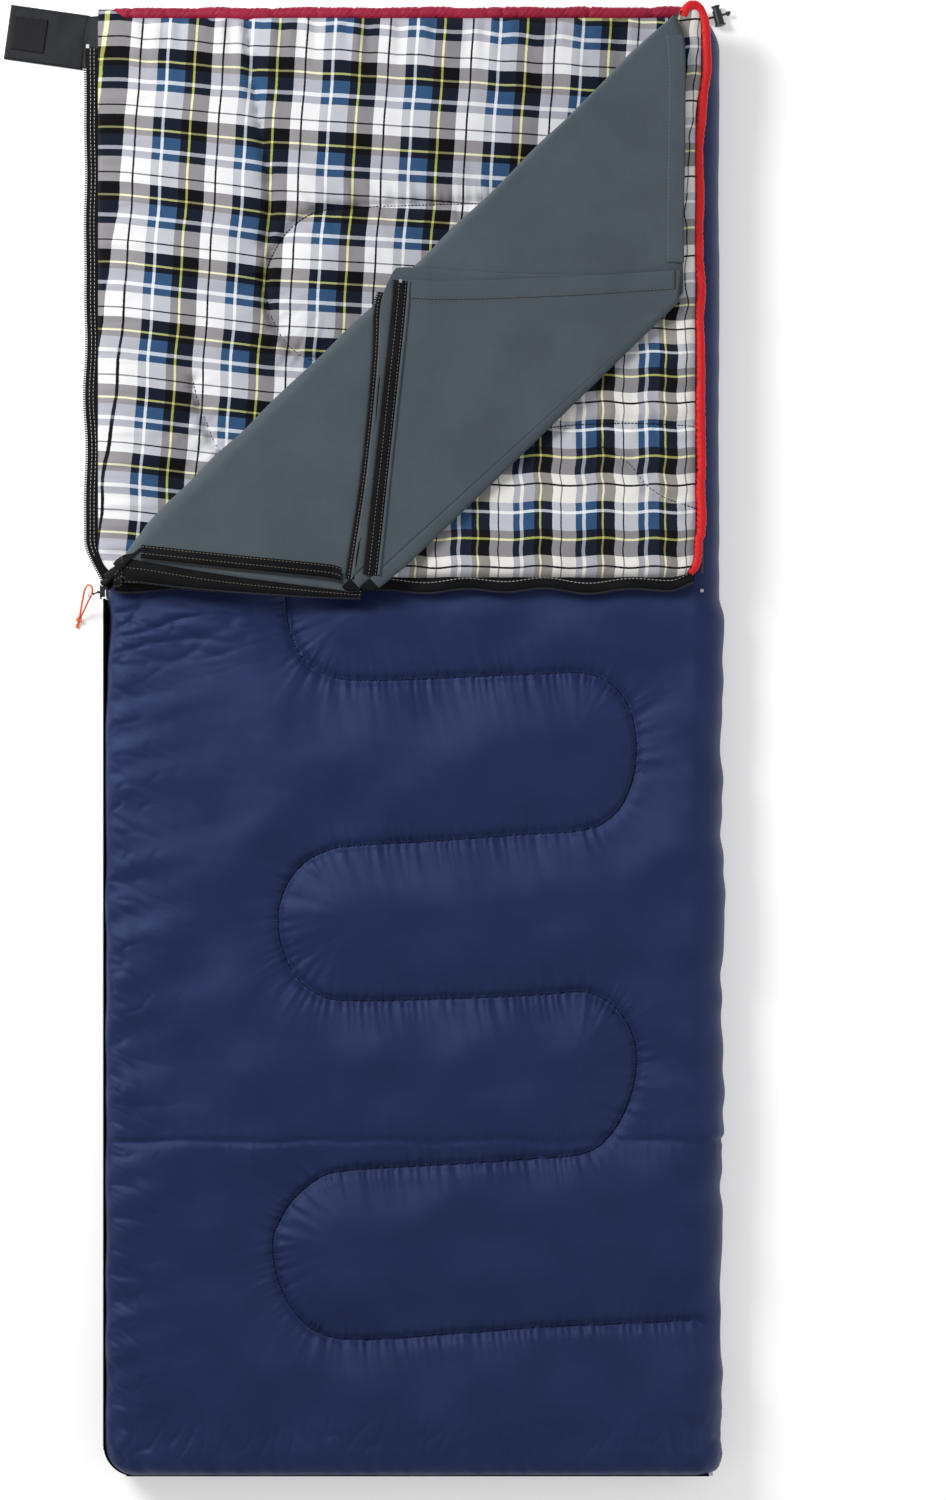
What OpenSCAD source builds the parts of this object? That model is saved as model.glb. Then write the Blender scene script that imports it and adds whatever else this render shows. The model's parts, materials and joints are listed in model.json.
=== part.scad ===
// Rectangular two-panel sleeping bag with a nested fleece liner.
// It lies flat on its back, zipped along the left side and the foot, with the head
// corner of the front panel folded open and the liner's corner folded back again.
// Millimetres. Origin: centre of the underside. +X away from the zip, +Y to the head.

/* [Bag] */
// Length from the foot zip to the head edge of the front panel
bag_len = 1900; // [1860:10:1940]
// Width over the closed zip
bag_wid = 800; // [780:10:820]
// Thickness of one quilted panel
panel_t = 30; // [26:1:34]
// Depth of the sleeper's space between the two panels
space_t = 14; // [13:1:18]
// How far a panel's edge is pinched in by its seam
edge_taper = 18; // [12:1:24]
// Radius of the foot corner on the zip side
corner_r = 40; // [30:2:60]
// Height of a panel's edge seam above its outer face
seam_h = 12; // [10:1:14]

/* [Folded corner] */
// Where the front panel's fold line crosses the bag's centre line
fold_offset = 590; // [580:2:600]
// How far the folded cloth bulges past the fold line
nose_depth = 14; // [8:1:30]
// Edge of the folded corner on its zip side
flap_foot = 211; // [208:1:216]
// Edge of the folded corner on its head side
flap_right = 366; // [362:1:368]
// Direction of the outer fleece sheet's second fold, from +X
outer_fold_angle = 42.5; // [42.3:0.1:42.6]
// Direction of the inner fleece sheet's second fold, from +X
inner_fold_angle = 41.75; // [41.6:0.05:41.8]

/* [Cloth] */
// Thickness of the shell and lining fabrics
fabric_t = 1.2; // [0.8:0.1:1.5]
// Thickness of one fleece sheet
liner_t = 2.5; // [2:0.1:2.6]
// Radius of the back panel's head hem
back_hem_r = 9; // [8:0.5:10]
// Radius of the front panel's head hem
flap_hem_r = 8; // [7:0.5:8]

/* [Zips] */
// Thickness of the zip tape
tape_t = 1.2; // [0.8:0.1:1.2]
// Height of the coil on its tape
coil_h = 3.3; // [2.5:0.1:3.3]
// Width of one coil half
coil_w = 3.4; // [3:0.1:3.4]
// Position of the slider along the side
slider_y = 195; // [194:1:198]

/* [Cords] */
// Diameter of the cord on the zip pull
pull_cord_d = 2.6; // [2:0.1:2.6]
// Diameter of the drawcord in the head hem
drawcord_d = 3; // [2.5:0.1:3]

/* [Hidden] */

$fn = 48;
plate_t = 0.2;                        // thin slice that a hull starts from
split_gap = 0.2;                      // gap between separate stretches of one strip

zip_out = tape_t + coil_h;            // how far the closed zip stands out of the panels
left = -bag_wid / 2 + zip_out;        // panel edge on the zip side
foot = -bag_len / 2 + zip_out;        // panel edge at the foot
head = bag_len / 2;
side_r = panel_t + space_t / 2;       // radius of the folded side opposite the zip
seam_x = bag_wid / 2 - side_r;        // where the flat panels meet the folded side
side_head = head - 35;                // head end of the folded side
back_head = head - 11;                // head edge of the back panel
back_seam_z = seam_h;
front_z = panel_t + space_t;          // underside of the front panel
front_seam_z = front_z + panel_t - seam_h;
front_top = front_z + panel_t;
mid_z = front_top / 2;                // height of the closed zip

fold_z = front_top + 1;               // axis that the flap turns about
lower_sheet_z = front_z - 2 * liner_t - 0.5;
upper_sheet_z = lower_sheet_z + liner_t + 0.2;
corner_z = 2 * fold_z - lower_sheet_z + 0.2;   // axis that the liner's corner turns about
outer_pivot = [-60.5, 199];           // zip end of the outer sheet's second fold line
inner_pivot = [-85.5, 199];           // the same for the inner sheet, which folds first

liner_left = -376;
liner_right = 350;
liner_foot = -930;
liner_head = 938;
liner_zip_out = 15;                   // width of the liner's zip, tape and coil
flap_tape_w = 15;
open_tape_out = 28.5;                 // reach of the opened back zip tape past the panel
open_tape_head = 905;

navy = [0.13, 0.16, 0.34];
plaid = [0.80, 0.81, 0.86];
wadding = [0.95, 0.95, 0.93];
slate = [0.30, 0.34, 0.36];
black = [0.06, 0.06, 0.07];
crimson = [0.62, 0.10, 0.24];
red = [0.86, 0.14, 0.16];
orange = [0.93, 0.36, 0.14];
steel = [0.75, 0.76, 0.78];

// A height above the floor, seen after the flap is turned over about its fold line
function turned(z) = 2 * fold_z - z;

function arc(centre, r, from, to, steps = 6) =
    [for (i = [0 : steps]) centre + r * [cos(from + (to - from) * i / steps),
                                         sin(from + (to - from) * i / steps)]];

// Outlines of the three panels. inset pulls in the sewn edges, and past carries the
// edges that run on into a fold beyond it.
function foot_corner(inset) =
    arc([left + corner_r, foot + corner_r], corner_r - inset, 180, 270);
back_outline = function(inset, past)
    concat(foot_corner(inset),
           [[seam_x + past, foot + inset], [seam_x + past, back_head - inset],
            [left + inset, back_head - inset]]);
front_outline = function(inset, past)
    concat(foot_corner(inset),
           [[seam_x + past, foot + inset], [seam_x + past, head - inset],
            [head - inset - fold_offset - past, head - inset],
            [left + inset, left + inset + fold_offset + past]]);
flap_outline = function(inset, past)
    [[flap_foot + inset - fold_offset - past, flap_foot + inset],
     [flap_right - inset, flap_foot + inset], [flap_right - inset, head - 4 - inset],
     [head - 4 - inset - fold_offset - past, head - 4 - inset]];

module slice(outline, inset, past, z)
    translate([0, 0, z]) linear_extrude(plate_t) polygon(outline(inset, past));

// One half of a panel, between its face at face_z and its seam at seam_z
module half_panel(outline, face_z, seam_z)
    hull() {
        slice(outline, edge_taper, 0, face_z < seam_z ? face_z : face_z - plate_t);
        slice(outline, 0, 0, face_z < seam_z ? seam_z - plate_t : seam_z);
    }

// The wadding of a panel from low to high, a fabric's thickness inside its faces
module wadding_of(outline, low, high, seam_z, past)
    hull() {
        slice(outline, edge_taper + fabric_t, past, low + fabric_t);
        slice(outline, fabric_t, past, seam_z - plate_t / 2);
        slice(outline, edge_taper + fabric_t, past, high - fabric_t - plate_t);
    }

module panel_skin(outline, low, high, seam_z, is_low)
    difference() {
        half_panel(outline, is_low ? low : high, seam_z);
        wadding_of(outline, low, high, seam_z, 1);
    }

// Half ring that joins the two panels along the side opposite the zip
module side_band(inner, outer)
    translate([seam_x, side_head, side_r]) rotate([90, 0, 0])
        linear_extrude(side_head - foot)
            intersection() {
                difference() {
                    circle(outer);
                    circle(inner);
                }
                translate([0, -outer]) square([outer, 2 * outer]);
            }

// Flattened half ring of cloth that bends round a fold. start is the fold line's lower
// end, and the bulge points to the left of its direction.
module fold_band(start, angle, run, z, inner, outer, squash)
    translate([start[0], start[1], z]) rotate([0, 0, angle]) rotate([90, 0, 90])
        linear_extrude(run)
            polygon(concat(
                [for (a = [-90 : 15 : 90]) [outer * squash * cos(a), outer * sin(a)]],
                [for (a = [90 : -15 : -90]) [inner * squash * cos(a), inner * sin(a)]]));

module front_fold_band(from_x, to_x, inner, outer)
    fold_band([from_x, from_x + fold_offset], 45, (to_x - from_x) * sqrt(2), fold_z,
              inner, outer, nose_depth / (fold_z - lower_sheet_z));

// The same for the liner's second fold, from one end of its line to the other
module corner_fold_band(pivot, angle, from, to, inner, outer, depth)
    fold_band(pivot + to * [cos(angle), sin(angle)], angle + 180, to - from, corner_z,
              inner, outer, depth / outer);

// Strip outside the panels, from near to far, down the side and round to the foot
module zip_band(near, far, low, high) {
    side_top = slider_y - 9;
    side_low = foot + corner_r;
    foot_end = bag_wid / 2 - 15;
    translate([left - far, side_low, low]) cube([far - near, side_top - side_low, high - low]);
    translate([left + corner_r, foot + corner_r, low]) linear_extrude(high - low)
        intersection() {
            difference() {
                circle(corner_r + far);
                circle(corner_r + near);
            }
            translate(-[2, 2] * corner_r - [split_gap, split_gap]) square(2 * corner_r);
        }
    translate([left + corner_r, foot - far, low])
        cube([foot_end - left - corner_r, far - near, high - low]);
}

// A flat piece of cloth with the given outline
module cloth(points, z, thick) translate([0, 0, z]) linear_extrude(thick) polygon(points);

// Tube along route, swept with sides facets. up is never along the route.
function unit(v) = v / norm(v);
function tangent(route, i) =
    unit(route[min(i + 1, len(route) - 1)] - route[max(i - 1, 0)]);
function ring_at(centre, along, r, sides, up) =
    let (across = unit(cross(along, up)), third = cross(along, across))
    [for (k = [0 : sides - 1]) centre + r * cos(360 * k / sides) * across
                                      + r * sin(360 * k / sides) * third];
module tube(route, d, sides = 8, up = [0, 0, 1]) {
    rings = len(route);
    points = [for (i = [0 : rings - 1])
        each ring_at(route[i], tangent(route, i), d / 2, sides, up)];
    walls = [for (i = [0 : rings - 2]) for (k = [0 : sides - 1])
        [i * sides + k, (i + 1) * sides + k, (i + 1) * sides + (k + 1) % sides,
         i * sides + (k + 1) % sides]];
    start_cap = [[for (k = [0 : sides - 1]) k]];
    end_cap = [[for (k = [sides - 1 : -1 : 0]) (rings - 1) * sides + k]];
    polyhedron(points, concat(start_cap, walls, end_cap), convexity = 6);
}

// Free end of the drawcord, from the mouth of the head hem through the cord lock
drawcord_route = [[372, 947.5, 12], [376, 945.8, 11.7], [380, 944.2, 10.7], [384, 944, 9.7],
                  [388, 944.8, 9.1], [392, 945.9, 9], [396, 946.9, 9], [400, 948, 9],
                  [404, 949.1, 9], [408, 950.1, 9], [411, 950.9, 9]];
// The two strands of the pull's cord, from the ring to the knot on the floor
pull_outer_route = [[-413.6, 192.6, 38.9], [-412.8, 196.4, 40.2], [-413.2, 200.4, 40.6],
                    [-415.8, 203.7, 40.2], [-419.6, 203.5, 38.2], [-422.6, 200, 35],
                    [-424.8, 194.6, 31], [-426.6, 188.2, 26.4], [-428.4, 181.6, 21.4],
                    [-430.2, 175, 16], [-431.8, 169, 11], [-433.2, 164, 7.4]];
pull_inner_route = [[-414.6, 192.6, 35.6], [-416, 189.6, 34.2], [-418.2, 186, 31.2],
                    [-420.6, 182, 27], [-423, 178, 22.2], [-425.6, 173.8, 17],
                    [-428.2, 169.6, 12], [-430.6, 165.8, 8.2], [-432.6, 163.2, 6.2]];
pull_knot_at = [-434, 160.6, 5.4];

// Back panel
module back_shell()
    color(navy) panel_skin(back_outline, 0, panel_t, back_seam_z, true);
module back_fill()
    color(wadding) wadding_of(back_outline, 0, panel_t, back_seam_z, 0);
module back_lining()
    color(plaid) panel_skin(back_outline, 0, panel_t, back_seam_z, false);

// Closed part of the front panel
module front_shell()
    color(navy) panel_skin(front_outline, front_z, front_top, front_seam_z, false);
module front_fill()
    color(wadding) wadding_of(front_outline, front_z, front_top, front_seam_z, 0);
module front_lining()
    color(plaid) panel_skin(front_outline, front_z, front_top, front_seam_z, true);

// Folded side opposite the zip
module side_shell() color(navy) side_band(side_r - fabric_t, side_r);
module side_fill() color(wadding) side_band(space_t / 2 + fabric_t, side_r - fabric_t);
module side_lining() color(plaid) side_band(space_t / 2, space_t / 2 + fabric_t);

// Main zip: each tape carries half of the coil, and a gap between the halves lets the
// slider's divider through
module back_zip_tape()
    color(black) {
        zip_band(0, tape_t, back_seam_z, mid_z - 1);
        translate([left - open_tape_out + 3, slider_y + 22, back_seam_z])
            cube([open_tape_out - 3, open_tape_head - slider_y - 22, tape_t]);
    }
module front_zip_tape()
    color(black) zip_band(0, tape_t, mid_z + 1, front_seam_z);
module back_zip_coil()
    color(black) {
        zip_band(tape_t, zip_out, mid_z - 0.6 - coil_w, mid_z - 0.6);
        translate([left - open_tape_out, slider_y + 22, back_seam_z - 1])
            cube([3, open_tape_head - slider_y - 22, coil_w]);
    }
module front_zip_coil()
    color(black) zip_band(tape_t, zip_out, mid_z + 0.6, mid_z + 0.6 + coil_w);
module bag_zip_stops()
    color(steel) {
        translate([left - open_tape_out, open_tape_head, back_seam_z - 1]) cube([4, 5, 4]);
        translate([bag_wid / 2 - 15, foot - zip_out, mid_z - 5]) cube([6, zip_out, 10]);
    }

// Head hem of the back panel, with the drawcord in it
module along_x(from, to, y, z, r)
    translate([from, y, z]) rotate([0, 90, 0]) cylinder(h = to - from, r = r);
module back_head_hem()
    color(crimson) difference() {
        along_x(left + 4, 372, back_head + back_hem_r, back_seam_z, back_hem_r);
        along_x(left, 376, back_head + back_hem_r, back_seam_z, back_hem_r - fabric_t);
    }
module drawcord()
    color(black) along_x(left + 10, 372, back_head + back_hem_r - 0.5, back_seam_z, drawcord_d / 2);
module drawcord_tail() color(black) tube(drawcord_route, drawcord_d);
module drawcord_knot()
    color(black) translate([413.4, 951.5, 9]) sphere(r = 3.4);

// Fleece liner inside the closed part of the bag: two nested sheets, bound together
// along the side and the foot, and zipped along the other side
liner_outline = [[liner_left, liner_foot], [liner_right, liner_foot],
                 [liner_right, liner_head], [liner_head - fold_offset, liner_head],
                 [liner_left, liner_left + fold_offset]];
module liner_upper_sheet() color(slate) cloth(liner_outline, upper_sheet_z, liner_t);
module liner_lower_sheet() color(slate) cloth(liner_outline, lower_sheet_z, liner_t);
module liner_binding()
    color(slate) {
        thick = 2 * liner_t + 0.2;
        translate([liner_right, liner_foot, lower_sheet_z])
            cube([4, liner_head - liner_foot, thick]);
        translate([liner_left, liner_foot - 4, lower_sheet_z])
            cube([liner_right - liner_left, 4 - split_gap, thick]);
    }
module liner_zip_strip(z)
    color(black) {
        run = liner_left + fold_offset - 14 - liner_foot - 10;
        translate([liner_left - 12, liner_foot + 10, z + 0.8]) cube([12, run, 1]);
        translate([liner_left - liner_zip_out, liner_foot + 10, z + 0.2])
            cube([3, run, liner_t - 0.3]);
    }
module liner_upper_zip() liner_zip_strip(upper_sheet_z);
module liner_lower_zip() liner_zip_strip(lower_sheet_z);
module liner_slider()
    color(black) {
        x = liner_left - liner_zip_out - 0.5;
        y = slider_y - 12;
        difference() {
            translate([x, y - 7, lower_sheet_z - 2]) cube([9, 14, 2 * liner_t + 4.2]);
            translate([x - 1, y - 8, lower_sheet_z - 0.2]) cube([11, 16, 2 * liner_t + 0.6]);
        }
        translate([x - 0.5, y - 7, lower_sheet_z - 2]) cube([0.7, 14, 2 * liner_t + 4.2]);
    }

// Cloth that bends round the front panel's fold line
module front_lining_fold()
    color(plaid) front_fold_band(left + edge_taper, head - edge_taper - fold_offset,
                                 panel_t + 1 - fabric_t, panel_t + 1);
module front_fill_fold()
    color(wadding) front_fold_band(left + edge_taper, head - edge_taper - fold_offset,
                                   1, panel_t + 1 - fabric_t - 0.1);
module liner_fold(z)
    color(slate) front_fold_band(liner_left, liner_head - fold_offset,
                                 fold_z - z - liner_t, fold_z - z);
module liner_upper_fold() liner_fold(upper_sheet_z);
module liner_lower_fold() liner_fold(lower_sheet_z);

// The front panel's head corner, turned over onto the closed part
flap_low = turned(front_top);
flap_high = turned(front_z);
flap_seam = turned(front_seam_z);
module flap_shell()
    color(navy) panel_skin(flap_outline, flap_low, flap_high, flap_seam, true);
module flap_fill()
    color(wadding) wadding_of(flap_outline, flap_low, flap_high, flap_seam, 0);
module flap_lining()
    color(plaid) panel_skin(flap_outline, flap_low, flap_high, flap_seam, false);
flap_zip_left = flap_foot - fold_offset + 1;   // keeps the tape on its side of the fold
flap_zip_right = flap_right + 6;
module flap_zip_tape()
    color(black) translate([flap_zip_left, flap_foot - flap_tape_w, flap_seam - tape_t / 2])
        cube([flap_zip_right - flap_zip_left, flap_tape_w, tape_t]);
module flap_zip_coil()
    color(black)
        translate([flap_zip_left, flap_foot - flap_tape_w - coil_h, flap_seam - coil_w / 2])
            cube([flap_zip_right - flap_zip_left, coil_h, coil_w]);
module flap_zip_stop()
    color(steel) translate([flap_zip_right, flap_foot - flap_tape_w - coil_h, flap_seam - 2])
        cube([4, 4, 4]);
module along_y(from, to, x, z, r)
    translate([x, to, z]) rotate([90, 0, 0]) cylinder(h = to - from, r = r);
module flap_head_hem()
    color(red) difference() {
        along_y(flap_foot + 3, head - 6, flap_right + flap_hem_r, flap_seam, flap_hem_r);
        along_y(flap_foot, head, flap_right + flap_hem_r, flap_seam, flap_hem_r - fabric_t);
    }
module flap_drawcord()
    color(black) along_y(flap_foot + 6, head - 8, flap_right + flap_hem_r, flap_seam, drawcord_d / 2);
module flap_loop_patch()
    color(black) translate([300, 232, flap_low - 1.5]) cube([42, 42, 1.5]);

// A point on the liner's second fold line, a hair to the inner side of it
function outer_fold_at(x) = [x, outer_pivot[1] + (x - outer_pivot[0]) * tan(outer_fold_angle) + 0.2];
function inner_fold_at(x) = [x, inner_pivot[1] + (x - inner_pivot[0]) * tan(inner_fold_angle) + 0.2];

// The liner's part of the turned corner, up to its second fold line. The sheet that lay
// below is on top here, and folds first.
liner_flap_foot = flap_foot + 2;
module liner_upper_flap()
    color(slate) cloth([[liner_left + 1, liner_flap_foot], [-45.3, liner_flap_foot],
                        outer_fold_at(348), [348, 938]],
                       turned(upper_sheet_z + liner_t), liner_t);
module liner_lower_flap()
    color(slate) cloth([[liner_left + 1, liner_flap_foot], [-70.1, liner_flap_foot],
                        inner_fold_at(348), [348, 938]],
                       turned(lower_sheet_z + liner_t), liner_t);
liner_zip_foot = liner_flap_foot - liner_zip_out + 1;
module liner_upper_flap_zip()
    color(black) cloth([[-388, liner_zip_foot], [-61, liner_zip_foot],
                        [-46, liner_flap_foot - 0.1], [liner_left, liner_flap_foot - 0.1]],
                       turned(upper_sheet_z + 1.8), 1.2);
module liner_lower_flap_zip()
    color(black) cloth([[-388, liner_zip_foot], [-86, liner_zip_foot],
                        [-71, liner_flap_foot - 0.1], [liner_left, liner_flap_foot - 0.1]],
                       turned(lower_sheet_z + 1.8), 1.2);

// Cloth that bends round the liner's second fold line
module corner_lower_fold()
    color(slate) corner_fold_band(inner_pivot, inner_fold_angle, 22, 568, 0.2, 0.2 + liner_t, 18);
module corner_upper_fold()
    color(slate) corner_fold_band(outer_pivot, outer_fold_angle, 2, 546, 0.4 + liner_t,
                                  0.4 + 2 * liner_t, 19.5);

// The liner's head corner, folded back towards the front panel's fold line
lower_corner_z = corner_z + 0.2;
upper_corner_z = lower_corner_z + liner_t + 0.2;
module liner_lower_corner()
    color(slate) cloth([inner_fold_at(-76), inner_fold_at(344), [344, 588], [0, 604], [-18, 598],
                        [-29, 587], [-34.3, 574]], lower_corner_z, liner_t);
module liner_upper_corner()
    color(slate) cloth([outer_fold_at(-46), outer_fold_at(344), [344, 582], [-6, 594]],
                       upper_corner_z, liner_t);
module liner_lower_corner_zip()
    color(black) cloth([inner_fold_at(-84), inner_fold_at(-76.8), [-35.1, 574], [-42.4, 573]],
                       lower_corner_z + 0.6, 1.2);
module liner_upper_corner_zip()
    color(black) cloth([outer_fold_at(-60), outer_fold_at(-46.2), [-6.2, 592], [-20.2, 590]],
                       upper_corner_z + 0.6, 1.2);
module liner_zip_stop()
    color(steel) translate([-14, 586, upper_corner_z + 1.8]) cube([4, 4, 1.6]);

// Closure tab beside the head of the zip
tab_centre = [-476.5, 921.5];
tab_turn = -8;
module tab_fabric()
    color(black) translate([tab_centre[0], tab_centre[1], 0.5]) rotate([0, 0, tab_turn])
        translate([-52, -36, 0]) cube([104, 72, 3]);
module tab_hook_patch()
    color([0.2, 0.2, 0.21]) translate([tab_centre[0], tab_centre[1], 3.5])
        rotate([0, 0, tab_turn]) translate([-45, -22, 0]) cube([44, 44, 2]);

// Slider of the main zip: two plates joined by a thin divider, and an eye bar
slider_len = 18;
slider_wid = 13;
slider_out = 7.5;                     // outer face of the slider from the panel edge
eye_x = left - slider_out - 2.5;      // axis that the pull swings about
module slider_plate(near, far)
    translate([left - far, slider_y, mid_z]) rotate([0, 90, 0])
        linear_extrude(far - near)
            intersection() {
                square([slider_wid, slider_len], center = true);
                translate([0, -2]) circle(r = 11);
            }
module slider_flange(near, far, z)
    translate([left - far, slider_y - 6, z]) cube([far - near, 12, 1.3]);
module slider_body()
    color([0.09, 0.09, 0.1]) {
        slider_plate(6, slider_out);
        slider_plate(-2.7, -1.2);
        translate([left - 6, slider_y + 3.5, mid_z - 0.4]) cube([7.2, 4, 0.8]);
        for (z = [mid_z - slider_wid / 2, mid_z + slider_wid / 2 - 1.3]) {
            slider_flange(2, 6.5, z);
            slider_flange(-2, -0.3, z);
        }
        for (z = [mid_z - 4, mid_z + 2.6])
            translate([eye_x - 0.7, slider_y - 1, z]) cube([3.7, 2, 1.4]);
        translate([eye_x, slider_y, mid_z - 4]) cylinder(h = 8, r = 0.7);
    }

// Pull of the main zip, drawn along +X of its own frame
pull_angle = 200;
module in_pull_frame()
    translate([eye_x, slider_y, mid_z]) rotate([0, 0, pull_angle]) children();
module pull_tab()
    color(black) in_pull_frame() difference() {
        union() {
            translate([0, 0, -2.1]) cylinder(h = 4.2, r = 1.8);
            translate([1, -0.8, -2.1]) cube([2, 1.6, 4.2]);
            translate([2, -0.8, -3]) cube([6.2, 1.6, 6]);
        }
        translate([0, 0, -3]) cylinder(h = 6, r = 0.85);
        translate([6.4, 2, 0]) rotate([90, 0, 0]) cylinder(h = 4, r = 1.2);
    }
module pull_ring()
    color(steel) in_pull_frame() translate([10, 0, 0]) rotate_extrude()
        translate([3.6, 0]) circle(r = 0.6);
module pull_cord_outer() color(orange) tube(pull_outer_route, pull_cord_d);
module pull_cord_inner() color(orange) tube(pull_inner_route, pull_cord_d);
module pull_knot()
    color(orange) {
        translate(pull_knot_at) sphere(r = 4.6, $fn = 24);
        tube([pull_knot_at + [-0.6, -3, -1.6], pull_knot_at + [-2.2, -7, -3],
              pull_knot_at + [-2.8, -11, -3.4]], 2.8);
    }

// Cord lock on the drawcord, drawn with the cord along +X and the button along +Y
lock_at = [400, 948, 9];
lock_turn = 15;
lock_r = 6;
lock_bore_r = 4.7;
lock_floor = -10.5;                   // blind end of the bore
module in_lock_frame() translate(lock_at) rotate([0, 0, lock_turn]) children();
module lock_rod(from, to, r)
    translate([0, to, 0]) rotate([90, 0, 0]) cylinder(h = to - from, r = r);
module lock_body()
    color(black) in_lock_frame() difference() {
        union() {
            lock_rod(-13, 7, lock_r);
            lock_rod(-13, -11, lock_r + 1.2);
        }
        lock_rod(lock_floor, 8, lock_bore_r);
        translate([-9, 0, 0]) rotate([0, 90, 0]) cylinder(h = 18, r = 2.3);
    }
module lock_button()
    color(black) in_lock_frame() difference() {
        union() {
            lock_rod(-3.2, 12, lock_bore_r - 0.2);
            lock_rod(11.5, 13.5, lock_bore_r + 1);
        }
        translate([-9, -2.3, -2.3]) cube([18, 8, 4.6]);
    }
spring_turns = 3;
module lock_spring()
    color(steel) in_lock_frame() {
        low = lock_floor + 0.5;
        high = -3.7;
        steps = 12 * spring_turns;
        tube([for (i = [0 : steps])
                [3.2 * cos(30 * i), low + (high - low) * i / steps, 3.2 * sin(30 * i)]],
             0.9, 6, [0, 1, 0]);
    }

back_shell();
back_fill();
back_lining();
front_shell();
front_fill();
front_lining();
side_shell();
side_fill();
side_lining();
back_zip_tape();
front_zip_tape();
back_zip_coil();
front_zip_coil();
bag_zip_stops();
back_head_hem();
drawcord();
drawcord_tail();
drawcord_knot();
liner_upper_sheet();
liner_lower_sheet();
liner_binding();
liner_upper_zip();
liner_lower_zip();
liner_slider();
front_lining_fold();
front_fill_fold();
liner_upper_fold();
liner_lower_fold();
flap_shell();
flap_fill();
flap_lining();
flap_zip_tape();
flap_zip_coil();
flap_zip_stop();
flap_head_hem();
flap_drawcord();
flap_loop_patch();
liner_upper_flap();
liner_lower_flap();
liner_upper_flap_zip();
liner_lower_flap_zip();
corner_upper_fold();
corner_lower_fold();
liner_upper_corner();
liner_lower_corner();
liner_upper_corner_zip();
liner_lower_corner_zip();
liner_zip_stop();
tab_fabric();
tab_hook_patch();
slider_body();
pull_tab();
pull_ring();
pull_cord_outer();
pull_cord_inner();
pull_knot();
lock_body();
lock_button();
lock_spring();
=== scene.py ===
"""Rectangular sleeping bag lying open at one corner: the visual model around the CAD frame.

Lengths are in millimetres and are written to the meshes in metres. The axes are the frame's:
+X away from the zip, +Y to the head, +Z up.
"""

import json
import math

import bmesh
import bpy
import numpy as np
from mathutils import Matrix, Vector
from mathutils.bvhtree import BVHTree


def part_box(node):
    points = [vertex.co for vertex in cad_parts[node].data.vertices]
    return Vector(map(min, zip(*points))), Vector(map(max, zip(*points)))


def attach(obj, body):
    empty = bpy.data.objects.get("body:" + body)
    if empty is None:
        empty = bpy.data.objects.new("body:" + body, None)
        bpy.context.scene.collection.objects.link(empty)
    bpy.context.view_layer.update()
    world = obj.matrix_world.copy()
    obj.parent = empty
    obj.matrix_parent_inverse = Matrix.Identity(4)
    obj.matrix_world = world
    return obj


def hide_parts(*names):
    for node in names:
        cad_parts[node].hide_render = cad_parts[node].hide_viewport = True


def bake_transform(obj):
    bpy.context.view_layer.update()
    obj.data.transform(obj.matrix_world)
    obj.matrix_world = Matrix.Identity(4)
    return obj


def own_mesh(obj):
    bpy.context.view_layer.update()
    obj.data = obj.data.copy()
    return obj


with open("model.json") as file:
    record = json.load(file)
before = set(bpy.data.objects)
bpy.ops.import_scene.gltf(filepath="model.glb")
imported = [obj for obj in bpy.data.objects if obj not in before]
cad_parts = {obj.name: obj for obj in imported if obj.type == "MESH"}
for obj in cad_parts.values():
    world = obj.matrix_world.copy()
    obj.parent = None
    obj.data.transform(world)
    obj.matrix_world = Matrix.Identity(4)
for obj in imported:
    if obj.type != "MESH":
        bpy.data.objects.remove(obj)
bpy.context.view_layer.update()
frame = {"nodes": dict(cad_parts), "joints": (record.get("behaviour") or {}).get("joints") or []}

MM = 0.001


# ---- sizes, from the frame

def node_box(*names):
    """Lowest and highest corner of the named CAD nodes together, in millimetres."""
    boxes = [np.array([list(c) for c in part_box(n)]) / MM for n in names]
    return np.min([b[0] for b in boxes], axis=0), np.max([b[1] for b in boxes], axis=0)


def box_middle(name):
    """Middle of a CAD node's box, in millimetres."""
    return sum(node_box(name)) / 2


def joint_at(name):
    """A joint's point, in millimetres."""
    return np.array(next(j for j in frame["joints"] if j["name"] == name)["pos_m"]) / MM


back_low, back_high = node_box("back_shell", "back_lining")
front_low, front_high = node_box("front_shell", "front_lining")
flap_low, flap_high = node_box("flap_shell", "flap_lining")
LEFT, FOOT, HEAD_Y = back_low[0], back_low[1], back_high[1]
SEAM_X = back_high[0]
SIDE_R = node_box("side_shell")[1][2] / 2
BACK_SEAM_Z = node_box("back_shell")[1][2]
FRONT_SEAM_Z = node_box("front_shell")[0][2]
OUT_T = front_high[2] - FRONT_SEAM_Z
IN_T = FRONT_SEAM_Z - front_low[2]
fold_point = joint_at("flap_fold")
FOLD_Z = fold_point[2]
FOLD_C = fold_point[1] - fold_point[0]          # the fold line is y = x + FOLD_C
FLAP_SEAM_Z = 2 * FOLD_Z - FRONT_SEAM_Z
FLAP_FOOT, FLAP_RIGHT = flap_low[1], flap_high[0]
FLAP_HEAD = flap_high[1]
CORNER_R = 40.0                                 # foot corner on the zip side
ZIP_TOP = node_box("front_zip_tape")[1][1]      # where the closed stretch of the zip ends


def add_object(name, data):
    """A new object in the scene."""
    obj = bpy.data.objects.new(name, data)
    bpy.context.scene.collection.objects.link(obj)
    return obj


# ---- camera and light

CAMERA_PLACE = (80.4, -9.7, 4630.5)             # straight above the middle of the view


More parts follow.
